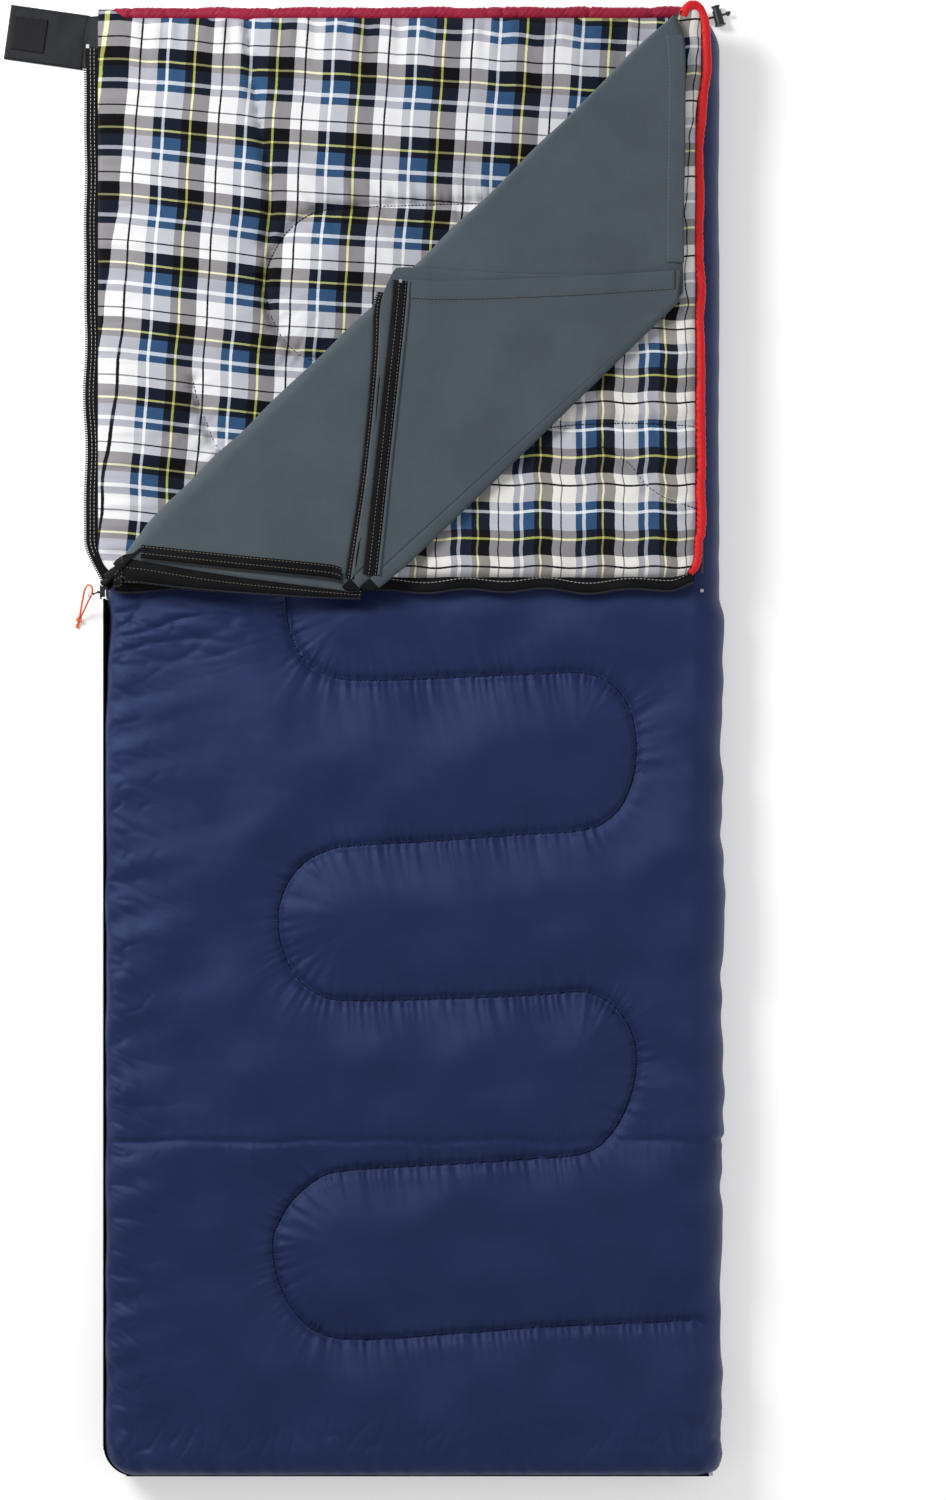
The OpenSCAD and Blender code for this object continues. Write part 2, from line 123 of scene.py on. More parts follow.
def make_camera():
    data = bpy.data.cameras.new("camera")
    data.lens = 85
    data.sensor_width = 36
    data.clip_end = 100
    cam = add_object("camera", data)
    cam.location = [c * MM for c in CAMERA_PLACE]
    bpy.context.scene.camera = cam


def make_light():
    world = bpy.data.worlds.new("studio")
    world.use_nodes = True
    sky = world.node_tree.nodes["Background"].inputs
    sky["Color"].default_value = (1, 1, 1, 1)
    sky["Strength"].default_value = 0.44
    bpy.context.scene.world = world
    for name, place, size, power in (("key", (-2.1, 1.7, 2.3), 1.5, 98),
                                     ("rim", (2.2, -0.6, 1.6), 1.4, 9)):
        data = bpy.data.lights.new(name, "AREA")
        data.shape = "DISK"
        data.size = size
        data.energy = power
        lamp = add_object(name, data)
        lamp.location = place
        aim = -lamp.location.normalized()
        lamp.rotation_euler = aim.to_track_quat("-Z", "Y").to_euler()
    bpy.context.scene.view_settings.view_transform = "Standard"


# ---- materials

class Shader:
    """A principled material with helpers that add the nodes feeding it."""

    def __init__(self, name, colour, roughness, **values):
        self.mat = bpy.data.materials.new(name)
        self.mat.use_nodes = True
        self.tree = self.mat.node_tree
        self.bsdf = self.tree.nodes["Principled BSDF"]
        self.bsdf.inputs["Base Color"].default_value = (*colour, 1)
        self.bsdf.inputs["Roughness"].default_value = roughness
        for key, value in values.items():
            self.bsdf.inputs[key.replace("_", " ")].default_value = value
        self.place = self.tree.nodes.new("ShaderNodeTexCoord").outputs["Object"]

    def put(self, socket, value):
        if isinstance(value, bpy.types.NodeSocket):
            self.tree.links.new(value, socket)
        elif value is not None:
            socket.default_value = value

    def node(self, kind, sockets, out=0, **settings):
        """A new node with its settings and what its sockets take; gives one of its outputs."""
        node = self.tree.nodes.new("ShaderNode" + kind)
        for key, value in settings.items():
            setattr(node, key, value)
        for socket, value in sockets.items():
            self.put(node.inputs[socket], value)
        return node.outputs[out]

    def math(self, kind, a, b=None):
        return self.node("Math", {0: a, 1: b}, operation=kind)

    def mix(self, share, a, b):
        a, b = ((*c, 1) if isinstance(c, tuple) else c for c in (a, b))
        return self.node("Mix", {"Factor": share, 6: a, 7: b}, 2, data_type="RGBA")

    def noise(self, scale, detail=3.0):
        sockets = {"Vector": self.place, "Scale": scale, "Detail": detail}
        return self.node("TexNoise", sockets, "Fac")

    def wave(self, scale, direction, distortion=0.0):
        sockets = {"Vector": self.place, "Scale": scale, "Distortion": distortion}
        return self.node("TexWave", sockets, "Fac", bands_direction=direction)

    def ramp(self, share, stops, kind="LINEAR"):
        colour = self.node("ValToRGB", {0: share})
        scale = colour.node.color_ramp
        scale.interpolation = kind
        while len(scale.elements) < len(stops):
            scale.elements.new(0.5)
        for point, (at, shade) in zip(scale.elements, stops):
            point.position = at
            point.color = (*shade, 1)
        return colour

    def colour(self, value):
        self.put(self.bsdf.inputs["Base Color"], value)

    def blotches(self, scale, low, high, colour, other):
        """Colour that wanders between two tones."""
        share = self.ramp(self.noise(scale, 4), [(low, (0, 0, 0)), (high, (1, 1, 1))])
        self.colour(self.mix(share, colour, other))

    def rough(self, low, high, share):
        sockets = {"Value": share, "To Min": low, "To Max": high}
        self.put(self.bsdf.inputs["Roughness"], self.node("MapRange", sockets))

    def bump(self, *layers):
        """Each layer is (height, strength, distance in metres)."""
        normal = None
        for height, strength, distance in layers:
            normal = self.node("Bump", {"Strength": strength, "Distance": distance,
                                        "Height": height, "Normal": normal})
        self.put(self.bsdf.inputs["Normal"], normal)


def linear(*srgb):
    """Linear colour from display values of 0 to 1."""
    return tuple(c / 12.92 if c <= 0.04045 else ((c + 0.055) / 1.055) ** 2.4 for c in srgb)


WARP_REPEAT, WEFT_REPEAT = 107.5, 87.8          # one check of the flannel, in mm
TWILL = 2.2                                     # pitch of its diagonal weave
# Bands across the warp: where each starts and ends, and its own thin line's centre and width
WARP_BANDS = ((0.0, 0.34, 0.131, 0.026), (0.34, 0.68, 0.462, 0.034), (0.68, 1.0, 0.790, 0.026))
WEFT_BANDS = ((0.0, 0.375, 0.139, 0.022), (0.375, 0.71, 0.506, 0.056), (0.71, 1.0, 0.806, 0.030))
YELLOW_WARP, YELLOW_WEFT = WARP_BANDS[2][2], WEFT_BANDS[2][2]


def plaid_colours(dark, warm):
    """Colour of each warp band and line (light, its line, blue, its line, dark, its line)
    under each weft yarn, as the woven check shows them. dark lifts the darkest colours and
    warm takes blue out of the pale ones: painted light, which makes a lighter, warmer copy of
    the same check."""
    white = (0.95, 0.95 - warm * 0.01, 0.96 - warm * 0.05)
    grey = (0.60, 0.59, 0.60 - warm * 0.05)
    blue = (0.20, 0.33, 0.48)
    night = (0.07 + dark, 0.10 + dark, 0.16 + dark)
    black = (0.03 + dark, 0.03 + dark, 0.04 + dark)
    ink = (0.06, 0.06, 0.08)
    pale = (0.72, 0.72, 0.76)
    rows = {
        "light": (white, (0.08, 0.08, 0.10), (0.77, 0.78, 0.81), (0.98, 0.98, 0.98),
                  (0.57, 0.56, 0.57), (0.94, 0.93, 0.74)),
        "blue": (pale, (0.10, 0.11, 0.15), blue, (0.86, 0.89, 0.93), night, (0.66, 0.69, 0.36)),
        "dark": (grey, ink, night, (0.70, 0.72, 0.76), black, (0.60, 0.60, 0.34)),
        "ink": ((0.55, 0.55, 0.57), ink, (0.12, 0.15, 0.20), (0.45, 0.46, 0.50), ink,
                (0.40, 0.40, 0.25)),
        "white": (white, (0.50, 0.50, 0.52), (0.78, 0.81, 0.86), (0.98, 0.98, 0.98),
                  (0.60, 0.61, 0.65), (0.95, 0.94, 0.80)),
        "yellow": ((0.96, 0.95, 0.80), (0.40, 0.40, 0.30), (0.68, 0.70, 0.44),
                   (0.97, 0.96, 0.85), (0.50, 0.49, 0.34), (0.90, 0.88, 0.50)),
    }
    return {name: [linear(*c) for c in row] for name, row in rows.items()}


def plaid_material(name, dark=0.0, warm=0.0):
    """Brushed flannel, woven check. The meshes carry where they lie in the check, in repeats."""
    s = Shader(name, (0.6, 0.6, 0.6), 0.92, Sheen_Weight=0.04, Sheen_Roughness=0.6,
               Specular_IOR_Level=0.06)
    where = s.node("Attribute", {}, "Vector", attribute_name="plaid")
    axes = s.node("SeparateXYZ", {0: where}).node.outputs
    blur = s.math("MULTIPLY", s.math("SUBTRACT", s.noise(900, 2), 0.5), 0.012)
    warp = s.math("FRACT", s.math("ADD", axes[0], blur))
    weft = s.math("FRACT", s.math("ADD", axes[1], blur))

    def row(colours):
        stops = []
        for (start, _, middle, wide), band, line in zip(WARP_BANDS, colours[::2], colours[1::2]):
            stops += [(start, band), (middle - wide / 2, line), (middle + wide / 2, band)]
        return s.ramp(warp, stops, "CONSTANT")

    colours = plaid_colours(dark, warm)
    shown = row(colours["light"])
    for (start, _, _, _), name_ in zip(WEFT_BANDS[1:], ("blue", "dark")):
        shown = s.mix(s.math("GREATER_THAN", weft, start), shown, row(colours[name_]))
    for (_, _, middle, wide), name_ in zip(WEFT_BANDS, ("ink", "white", "yellow")):
        near_line = s.math("LESS_THAN", s.math("ABSOLUTE", s.math("SUBTRACT", weft, middle)),
                           wide / 2)
        shown = s.mix(near_line, shown, row(colours[name_]))
    slant = s.math("ADD", axes[0], s.math("MULTIPLY", axes[1], 0.87))
    twill = s.math("FRACT", s.math("MULTIPLY", slant, WARP_REPEAT / TWILL))
    diagonal = s.math("GREATER_THAN", twill, 0.5)
    yarn = s.math("ADD", s.math("MULTIPLY", diagonal, 0.08),
                  s.math("MULTIPLY", s.noise(650, 3), 0.12))
    s.colour(s.mix(yarn, shown, (0.02, 0.02, 0.025)))
    s.bump((diagonal, 0.25, 0.0003), (s.noise(1500, 2), 0.3, 0.0003),
           (s.noise(60, 2), 0.2, 0.0015))
    return s.mat


def cloth_material(name, colour, other, roughness, weave, sheen=0.3, wrinkle=0.3, fuzz=0.25,
                   **values):
    """Woven or brushed cloth: two-tone blotches, a weave at weave mm, and soft wrinkles."""
    s = Shader(name, colour, roughness, Sheen_Weight=sheen, Sheen_Roughness=0.45, **values)
    s.blotches(14, 0.35, 0.68, colour, other)
    thread = 2 * math.pi / weave / MM / 20
    s.rough(roughness - 0.06, min(roughness + 0.08, 1), s.noise(40, 3))
    s.bump((s.wave(thread, "X"), fuzz, 0.0002), (s.wave(thread, "Y"), fuzz, 0.0002),
           (s.noise(90, 3), wrinkle, 0.002), (s.noise(22, 3), wrinkle, 0.004))
    return s.mat


def hard_material(name, colour, roughness, metallic=0.0):
    """Moulded, enamelled or plated surface with fine grain and slight wear."""
    s = Shader(name, colour, roughness, Metallic=metallic)
    worn = tuple(min(1, c * 1.8 + 0.01) for c in colour)
    s.blotches(220, 0.55, 0.75, colour, worn)
    s.rough(roughness - 0.08, roughness + 0.12, s.noise(300, 3))
    s.bump((s.noise(500, 2), 0.15, 0.0002))
    return s.mat


def braid_material(name, colour, other):
    """Braided cord: two crossing diagonals."""
    s = Shader(name, colour, 0.6, Sheen_Weight=0.3)
    weave = s.math("MULTIPLY", s.wave(95, "DIAGONAL"), s.wave(95, "X", 1.5))
    s.colour(s.mix(weave, colour, other))
    s.bump((weave, 0.6, 0.0004))
    return s.mat


MATERIALS = {}                                  # by the short names that the pieces use


def make_materials():
    hem = {"roughness": 0.42, "weave": 0.5, "sheen": 0.04, "wrinkle": 0.35,
           "Specular_IOR_Level": 0.25}
    MATERIALS.update({
        "navy": cloth_material("navy_shell", (0.010, 0.017, 0.066), (0.014, 0.022, 0.082),
                               0.40, 0.5, sheen=0.12, wrinkle=0.10,
                               Sheen_Tint=(0.35, 0.5, 1.0, 1),
                               Specular_Tint=(0.42, 0.55, 1.0, 1), Specular_IOR_Level=0.42),
        "plaid": plaid_material("plaid_flannel"),
        # Painted light: a lighter, warmer copy of the same flannel, standing in for how the light
        # falls on the turned corner
        "plaid_turned_painted_light": plaid_material("plaid_flannel_turned_painted_light", dark=0.02, warm=0.8),
        "fleece": cloth_material("fleece", (0.062, 0.082, 0.094), (0.072, 0.094, 0.107), 0.93,
                                 1.4, sheen=0.18, wrinkle=0.22, fuzz=0.5,
                                 Specular_IOR_Level=0.1),
        "tape": cloth_material("zip_tape", (0.007, 0.007, 0.008), (0.011, 0.011, 0.012), 0.8, 0.8,
                               sheen=0.01, fuzz=0.5, Specular_IOR_Level=0.06),
        "coil": hard_material("zip_coil", (0.010, 0.010, 0.011), 0.42),
        "metal": hard_material("zip_metal", (0.62, 0.62, 0.64), 0.3, metallic=1.0),
        "crimson": cloth_material("crimson_hem", (0.27, 0.005, 0.032), (0.33, 0.010, 0.044),
                                  **hem),
        "red": cloth_material("red_hem", (0.62, 0.008, 0.012), (0.70, 0.014, 0.018), **hem),
        "thread": cloth_material("white_thread", (0.75, 0.75, 0.74), (0.6, 0.6, 0.6), 0.7, 0.3),
        "tan_thread": cloth_material("tan_thread", (0.22, 0.185, 0.14), (0.27, 0.23, 0.18), 0.7,
                                     0.3, sheen=0.05),
        # Near-black thread. On the quilting seams it is also painted shade, dark enough to stand
        # for the shadow in the seam grooves.
        "dark_thread": cloth_material("dark_thread", (0.002, 0.002, 0.007),
                                      (0.003, 0.003, 0.010), 0.8, 0.3, sheen=0.02,
                                      Specular_IOR_Level=0.1),
        "drawcord": braid_material("drawcord", (0.012, 0.012, 0.014), (0.03, 0.03, 0.034)),
        "enamel": hard_material("black_metal", (0.012, 0.012, 0.014), 0.28),
        "plastic": hard_material("black_plastic", (0.014, 0.014, 0.016), 0.42),
        "orange": braid_material("pull_cord", (0.86, 0.13, 0.03), (0.95, 0.24, 0.07)),
        "loops": cloth_material("loop_patch", (0.018, 0.018, 0.02), (0.03, 0.03, 0.033), 0.95, 1.1,
                                fuzz=0.9),
        "hooks": cloth_material("hook_patch", (0.012, 0.012, 0.014), (0.018, 0.018, 0.02), 0.7,
                                1.6, sheen=0.04, fuzz=0.9, Specular_IOR_Level=0.15),
        "satin": cloth_material("tab_satin", (0.007, 0.008, 0.012), (0.010, 0.011, 0.016), 0.42,
                                0.4, sheen=0.03, wrinkle=0.3, Specular_IOR_Level=0.2),
        "spring": hard_material("spring_steel", (0.6, 0.6, 0.62), 0.25, metallic=1.0),
    })


# ---- shapes in numpy

def smooth(t):
    t = np.clip(t, 0, 1)
    return t * t * (3 - 2 * t)


def ripple(seed, length, count=7):
    """A smooth irregular wave along a line, about 1 high."""
    draw = np.random.default_rng(seed)
    turns = 2 * np.pi / (length * draw.uniform(0.6, 1.7, count))
    start = draw.uniform(0, 2 * np.pi, count)
    return lambda s: sum(np.sin(k * s + p) for k, p in zip(turns, start)) / math.sqrt(count)


def field(seed, length, count=14):
    """A smooth irregular height over the floor, about 1 high."""
    draw = np.random.default_rng(seed)
    turns = 2 * np.pi / (length * draw.uniform(0.6, 1.7, count))
    way = draw.uniform(0, 2 * np.pi, count)
    start = draw.uniform(0, 2 * np.pi, count)
    return lambda x, y: sum(np.sin(k * (x * math.cos(a) + y * math.sin(a)) + p)
                            for k, a, p in zip(turns, way, start)) / math.sqrt(count)


def spline(points, step=10.0):
    """Points about step apart on a smooth curve through the given ones."""
    p = np.array(points, float)
    ends = np.vstack([2 * p[0] - p[1], p, 2 * p[-1] - p[-2]])
    out = []
    for a, b, c, d in zip(ends, ends[1:], ends[2:], ends[3:]):
        n = max(1, int(round(np.linalg.norm(c - b) / step)))
        for t in np.arange(n) / n:
            out.append(0.5 * (2 * b + (c - a) * t + (2 * a - 5 * b + 4 * c - d) * t * t
                              + (3 * b - a - 3 * c + d) * t ** 3))
    return np.array(out + [p[-1]])


def run_along(path):
    """How far along a path each of its points is."""
    return np.concatenate([[0], np.cumsum(np.linalg.norm(np.diff(path, axis=0), axis=1))])


def points_at(path, run, at):
    """Points of a path at the given distances along it."""
    return np.stack([np.interp(at, run, path[:, k]) for k in range(path.shape[1])], -1)


def near(path, x, y):
    """Distance from each point to a path in plan, how far along it that is, and the side."""
    best = np.full(x.shape, 1e9)
    along = np.zeros(x.shape)
    side = np.ones(x.shape)
    run = 0.0
    for a, b in zip(path, path[1:]):
        dx, dy = b[0] - a[0], b[1] - a[1]
        length = math.hypot(dx, dy)
        t = np.clip(((x - a[0]) * dx + (y - a[1]) * dy) / length ** 2, 0, 1)
        away = np.hypot(x - a[0] - t * dx, y - a[1] - t * dy)
        closer = away < best
        best = np.where(closer, away, best)
        along = np.where(closer, run + t * length, along)
        side = np.where(closer, np.sign(dx * (y - a[1]) - dy * (x - a[0])), side)
        run += length
    return best, along, side


def rounded(distance, reach):
    """Quarter-round rise from 0 at a sewn edge to 1 at reach."""
    t = np.clip(distance / reach, 0, 1)
    return np.sqrt(1 - (1 - t) ** 2)


def sewn(path, x, y, seed, depth=0.55, pucker=2.6, crease=1.0):
    """What a quilting seam does: a share that pulls the loft in, as a narrow groove in a
    broad dip, and a height of short puckers and longer creases that run square to it."""
    away, along, side = near(path, x, y)
    share = 1 - depth * np.exp(-(away / 6) ** 1.5) - 0.38 * np.exp(-(away / 34) ** 1.3)
    height = np.zeros(x.shape)
    for size, length, reach, lean in ((pucker, 10, 11, 0.1), (crease, 30, 30, 0.25)):
        waves = np.where(side > 0, ripple(seed, length)(along + lean * away),
                         ripple(seed + 1, length)(along - lean * away))
        height += size * waves * np.exp(-away / reach) * (1 - np.exp(-(away / 3) ** 2))
        seed += 100
    return share, height


def quilted(seams, x, y, seed, **depths):
    """The share and the height of several quilting seams together."""
    share, height = np.ones(x.shape), np.zeros(x.shape)
    for k, seam in enumerate(seams):
        more, add = sewn(seam, x, y, seed + 2 * k, **depths)
        share, height = share * more, height + add
    return share, height


def creases(seed, x, y, length, angle, stretch=2.6, sharp=0.24):
    """Narrow valleys that wander along one direction, 1 deep."""
    c, s = math.cos(angle), math.sin(angle)
    height = field(seed, length)((x * c + y * s) / stretch, y * c - x * s)
    return -np.exp(-(height / sharp) ** 2)


def edge_puckers(distance, along, seed, height, reach, length, lean=0.0):
    """Puckers that run in from a gathered or zipped edge."""
    rise = np.exp(-distance / reach) * (1 - np.exp(-(distance / 7) ** 2))
    return height * ripple(seed, length)(along + lean * distance) * rise


# ---- meshes

def add_mesh(name, points, faces, materials, face_slots=None, plaid=None, weld=False):
    mesh = bpy.data.meshes.new(name)
    mesh.from_pydata((np.asarray(points) * MM).tolist(), [], faces)
    for mat in materials:
        mesh.materials.append(MATERIALS[mat])
    if face_slots is not None:
        mesh.polygons.foreach_set("material_index", np.asarray(face_slots, np.int32))
    if plaid is not None:
        layer = mesh.attributes.new("plaid", "FLOAT_VECTOR", "POINT")
        layer.data.foreach_set("vector", np.asarray(plaid, np.float32).ravel())
    mesh.polygons.foreach_set("use_smooth", np.ones(len(mesh.polygons), bool))
    if weld:
        shape = bmesh.new()
        shape.from_mesh(mesh)
        bmesh.ops.remove_doubles(shape, verts=shape.verts, dist=2e-5)
        bmesh.ops.dissolve_degenerate(shape, edges=shape.edges, dist=1e-6)
        bmesh.ops.recalc_face_normals(shape, faces=shape.faces)
        shape.to_mesh(mesh)
        shape.free()
    mesh.update()
    return add_object(name, mesh)


def quads(rows, cols, start=0, flip=False):
    index = start + np.arange(rows * cols).reshape(rows, cols)
    ring = [index[:-1, :-1], index[1:, :-1], index[1:, 1:], index[:-1, 1:]]
    if flip:
        ring = ring[::-1]
    return np.stack(ring, -1).reshape(-1, 4)


def pad(name, top, low, materials, plaid=None):
    """Closed solid between two grids of points whose rims meet or face each other. The top
    takes the first material, the underside and the walls the second."""
    rows, cols = top.shape[:2]
    count = rows * cols
    up = quads(rows, cols)
    down = quads(rows, cols, count, flip=True)
    index = np.arange(count).reshape(rows, cols)
    rim = np.concatenate([index[:-1, 0], index[-1, :-1], index[:0:-1, -1], index[0, :0:-1]])
    after = np.roll(rim, -1)
    wall = np.stack([rim, rim + count, after + count, after], -1)
    faces = np.concatenate([up, down, wall]).tolist()
    slots = np.concatenate([np.zeros(len(up)), np.ones(len(down) + len(wall))])
    points = np.concatenate([top.reshape(-1, 3), low.reshape(-1, 3)])
    spots = None
    if plaid is not None:
        flat = np.concatenate([plaid.reshape(-1, 2), np.zeros((count, 1))], axis=1)
        spots = np.concatenate([flat, flat])
    return add_mesh(name, points, faces, materials, slots, spots, weld=True)


def stack(x, y, z):
    return np.stack(np.broadcast_arrays(x, y, z), -1).astype(float)


def normals(grid):
    """Unit normals of a grid of points."""
    across = np.gradient(grid, axis=0)
    along = np.gradient(grid, axis=1)
    n = np.cross(across, along)
    return n / np.maximum(np.linalg.norm(n, axis=-1, keepdims=True), 1e-9)


def cloth_sheet(name, grid, thick, material, plaid=None):
    """Thin closed cloth about a grid of points."""
    n = normals(grid) * thick / 2
    return pad(name, grid + n, grid - n, [material, material], plaid)


def coons(foot, head, left, right):
    """Grid between four edges, as arrays of points. foot and head run the same way, and so
    do left (from foot's start to head's start) and right."""
    s = np.linspace(0, 1, len(foot))[:, None, None]
    t = np.linspace(0, 1, len(left))[None, :, None]
    sides = (1 - t) * foot[:, None] + t * head[:, None]
    ends = (1 - s) * left[None] + s * right[None]
    corners = ((1 - s) * (1 - t) * foot[0] + s * (1 - t) * foot[-1]
               + (1 - s) * t * head[0] + s * t * head[-1])
    return sides + ends - corners


def even(points, count):
    """count points at even distances along a smooth curve through the given ones."""
    p = spline(points, 4.0)
    run = run_along(p)
    return points_at(p, run, np.linspace(0, run[-1], count))


def frames_along(path, up=(0, 0, 1.0)):
    """Tangent, sideways and upward unit vectors along a path of points."""
    tangent = np.gradient(path, axis=0)
    tangent /= np.linalg.norm(tangent, axis=1, keepdims=True)
    side = np.cross(tangent, up)
    side /= np.maximum(np.linalg.norm(side, axis=1, keepdims=True), 1e-9)
    return tangent, side, np.cross(side, tangent)


def tube_points(path, radii, sides, flatten=1.0, up=(0, 0, 1.0)):
    """Rings of a tube. radii is one value, or one for each ring and side."""
    _, side, up = frames_along(path, up)
    angle = np.linspace(0, 2 * np.pi, sides, endpoint=False)
    radii = np.broadcast_to(radii, (len(path), sides))[..., None]
    return (path[:, None] + radii * (np.cos(angle)[None, :, None] * side[:, None]
                                     + flatten * np.sin(angle)[None, :, None] * up[:, None]))


def tube_mesh(name, path, radii, material, sides=16, flatten=1.0, up=(0, 0, 1.0)):
    rings = tube_points(path, radii, sides, flatten, up)
    n = len(path)
    index = np.arange(n * sides).reshape(n, sides)
    after = np.roll(index, -1, axis=1)
    walls = np.stack([index[:-1], after[:-1], after[1:], index[1:]], -1).reshape(-1, 4).tolist()
    caps = [index[0][::-1].tolist(), index[-1].tolist()]
    return add_mesh(name, rings.reshape(-1, 3), walls + caps, [material])


def copies(name, shape, faces, places, material):
    """One mesh of many small shapes. places is (n, 4, 3): origin, and the three axes."""
    count = len(shape)
    points = (places[:, None, 0] + np.einsum("vk,nkc->nvc", shape, places[:, 1:])).reshape(-1, 3)
    every = []
    for k in range(len(places)):
        every += [[i + k * count for i in face] for face in faces]
    return add_mesh(name, points, every, [material])


def prism(sides, rings):
    """Points and faces of a closed prism along X, with rings of (x, radius across, up)."""
    angle = np.linspace(0, 2 * np.pi, sides, endpoint=False)
    points = [(x, w * math.cos(a), h * math.sin(a)) for x, w, h in rings for a in angle]
    faces = []
    for r in range(len(rings) - 1):
        for k in range(sides):
            a, b = r * sides + k, r * sides + (k + 1) % sides
            faces.append([a, b, b + sides, a + sides])
    faces.append(list(range(sides))[::-1])
    faces.append([(len(rings) - 1) * sides + k for k in range(sides)])
    return np.array(points), faces


def places_along(path, pitch):
    """Origins and axes at every pitch along a path."""
    run = run_along(path)
    at = np.arange(pitch / 2, run[-1], pitch)
    return np.stack([points_at(part, run, at) for part in (path, *frames_along(path))], axis=1)


def finish_piece(obj, body, slot, *nodes):
    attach(obj, body)
    if nodes:
        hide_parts(*nodes)
    return obj


def stitches(name, path, thread, body, slot, length=3.2, gap=1.8, r=0.35):
    """Sewing thread along a path, one dash to a stitch."""
    shape, faces = prism(5, [(-length / 2, r * 0.4, r * 0.4), (-length / 2 + 0.6, r, r),
                             (length / 2 - 0.6, r, r), (length / 2, r * 0.4, r * 0.4)])
    obj = copies(name, shape, faces, places_along(path, length + gap), thread)
    finish_piece(obj, body, slot)


def coil(name, path, body, *nodes, wide=3.4, high=2.4):
    """Zip coil: one rounded loop to a tooth, lying across the path."""
    shape, faces = prism(8, [(-wide / 2, 0.35, high * 0.25), (-wide * 0.3, 1.0, high / 2),
                             (wide * 0.3, 1.0, high / 2), (wide / 2, 0.35, high * 0.25)])
    shape = shape[:, [1, 0, 2]]
    faces = [face[::-1] for face in faces]
    obj = copies(name, shape, faces, places_along(path, COIL_PITCH), "coil")
    finish_piece(obj, body, "zip_coil", *nodes)


TAPE_T, COIL_PITCH = 1.1, 3.0                   # zip tape's thickness, and one tooth to the next


def tape(name, one_edge, other_edge, body, *nodes):
    """Flat strip of zip tape between two lines of points."""
    share = np.linspace(0, 1, 4)[None, :, None]
    grid = one_edge[:, None] * (1 - share) + other_edge[:, None] * share
    finish_piece(cloth_sheet(name, grid, TAPE_T, "tape"), body, "zip_tape", *nodes)


# ---- where the check lies

def plaid_on_back(x, y):
    """Place in the check, in repeats, of a point on the back or front lining. The weft
    leans down to the right, most of it left of the quilting."""
    y = np.where(x > -370, np.minimum(y, HEAD_Y + 1), y)
    lean = 0.05 + 0.07 * np.clip((HEAD_Y - y) / 220, 0, 1)
    u = x - 0.064 * (y - 837) + 1.0 * ripple(31, 120)(y)
    v = y + lean * np.minimum(x + 377, 190) + 0.06 * np.maximum(x + 187, 0)
    v = v + 1.6 * ripple(32, 60)(x) * np.exp(-np.maximum(HEAD_Y - y, 0) / 60)
    return np.stack([(u + 284.5) / WARP_REPEAT + YELLOW_WARP,
                     (v - 888) / WEFT_REPEAT + YELLOW_WEFT], -1)


def plaid_on_flap(x, y):
    """The same on the turned corner, where the check has turned with the cloth."""
    u = 260.5 - y - 24 * smooth((y - 430) / 200) - 14 * smooth((y - 658) / 200)
    v = x - 246.4 - 0.077 * np.maximum(y - 700, 0) + 1.5 * ripple(34, 55)(y)
    return np.stack([(u + 1.2 * ripple(33, 60)(x)) / 105.4 + YELLOW_WARP,
                     v / 80.0 + YELLOW_WEFT], -1)


# ---- quilting lines, in plan

FRONT_SEAM = spline([(-161, 215), (-159, 160), (-149, 125), (-128, 99), (-95, 83), (-40, 80),
                     (60, 84), (160, 88), (225, 89), (262, 72), (284, 38), (291, -8), (284, -55),
                     (262, -93), (222, -113), (140, -119), (30, -127), (-70, -133), (-112, -141),
                     (-146, -163), (-166, -198), (-171, -230), (-166, -265), (-148, -302),
                     (-112, -328), (-60, -333), (60, -330), (170, -325), (225, -322),
                     (262, -340), (284, -372), (291, -410), (284, -455), (262, -500),
                     (225, -529), (140, -538), (30, -545), (-70, -551), (-115, -560),
                     (-152, -590), (-173, -625), (-178, -645), (-172, -690), (-150, -735),
                     (-112, -764), (-50, -770), (60, -762), (180, -753), (300, -748),
                     (372, -745)])
BACK_SEAMS = [spline([(370, 716), (200, 708), (90, 703), (-60, 698), (-122, 692), (-160, 668),
                      (-183, 632), (-190, 600), (-184, 560), (-160, 518), (-115, 495),
                      (0, 488), (180, 484)]),
              spline([(-284, 470), (-279, 447), (-265, 412), (-255, 388), (-235, 360),
                      (-200, 335)])]
HEAD_CREASE = spline([(-216, 950), (-208, 873), (-193, 780), (-183, 715), (-187, 655)])
FLAP_SEAMS = [spline([(60, 398), (160, 402), (230, 408), (300, 409), (366, 405)]),
              spline([(245, 380), (280, 358), (292, 343), (305, 328), (328, 313), (366, 300)])]
FOLD_GAP = 1.2                                  # room for the pads to turn at the fold
JOIN_Y = -513.0                                 # where two widths of shell cloth are joined
join_wave = ripple(41, 120)


# ---- quilted pads

def foot_edge(x):
    """Y of the foot edge, with the rounded corner on the zip side."""
    into = np.clip(LEFT + CORNER_R - x, 0, CORNER_R)
    return FOOT + CORNER_R - np.sqrt(CORNER_R ** 2 - into ** 2)


front_field = field(5, 150)
front_crease = field(6, 38)
SEAM_R = FRONT_SEAM_Z - SIDE_R                  # radius of the seam line round the side


PINCH_Y = 150.0                                 # just below the slider, where the shell is pinched


def zip_edge_inset(y):
    """How far the front panel's zip edge is drawn in, most of all at the pinch."""
    pinch = 7.0 * np.exp(-((y - PINCH_Y) / 55) ** 2)
    return np.maximum(2.2 + pinch + 0.8 * ripple(44, 110)(y), 0.3)


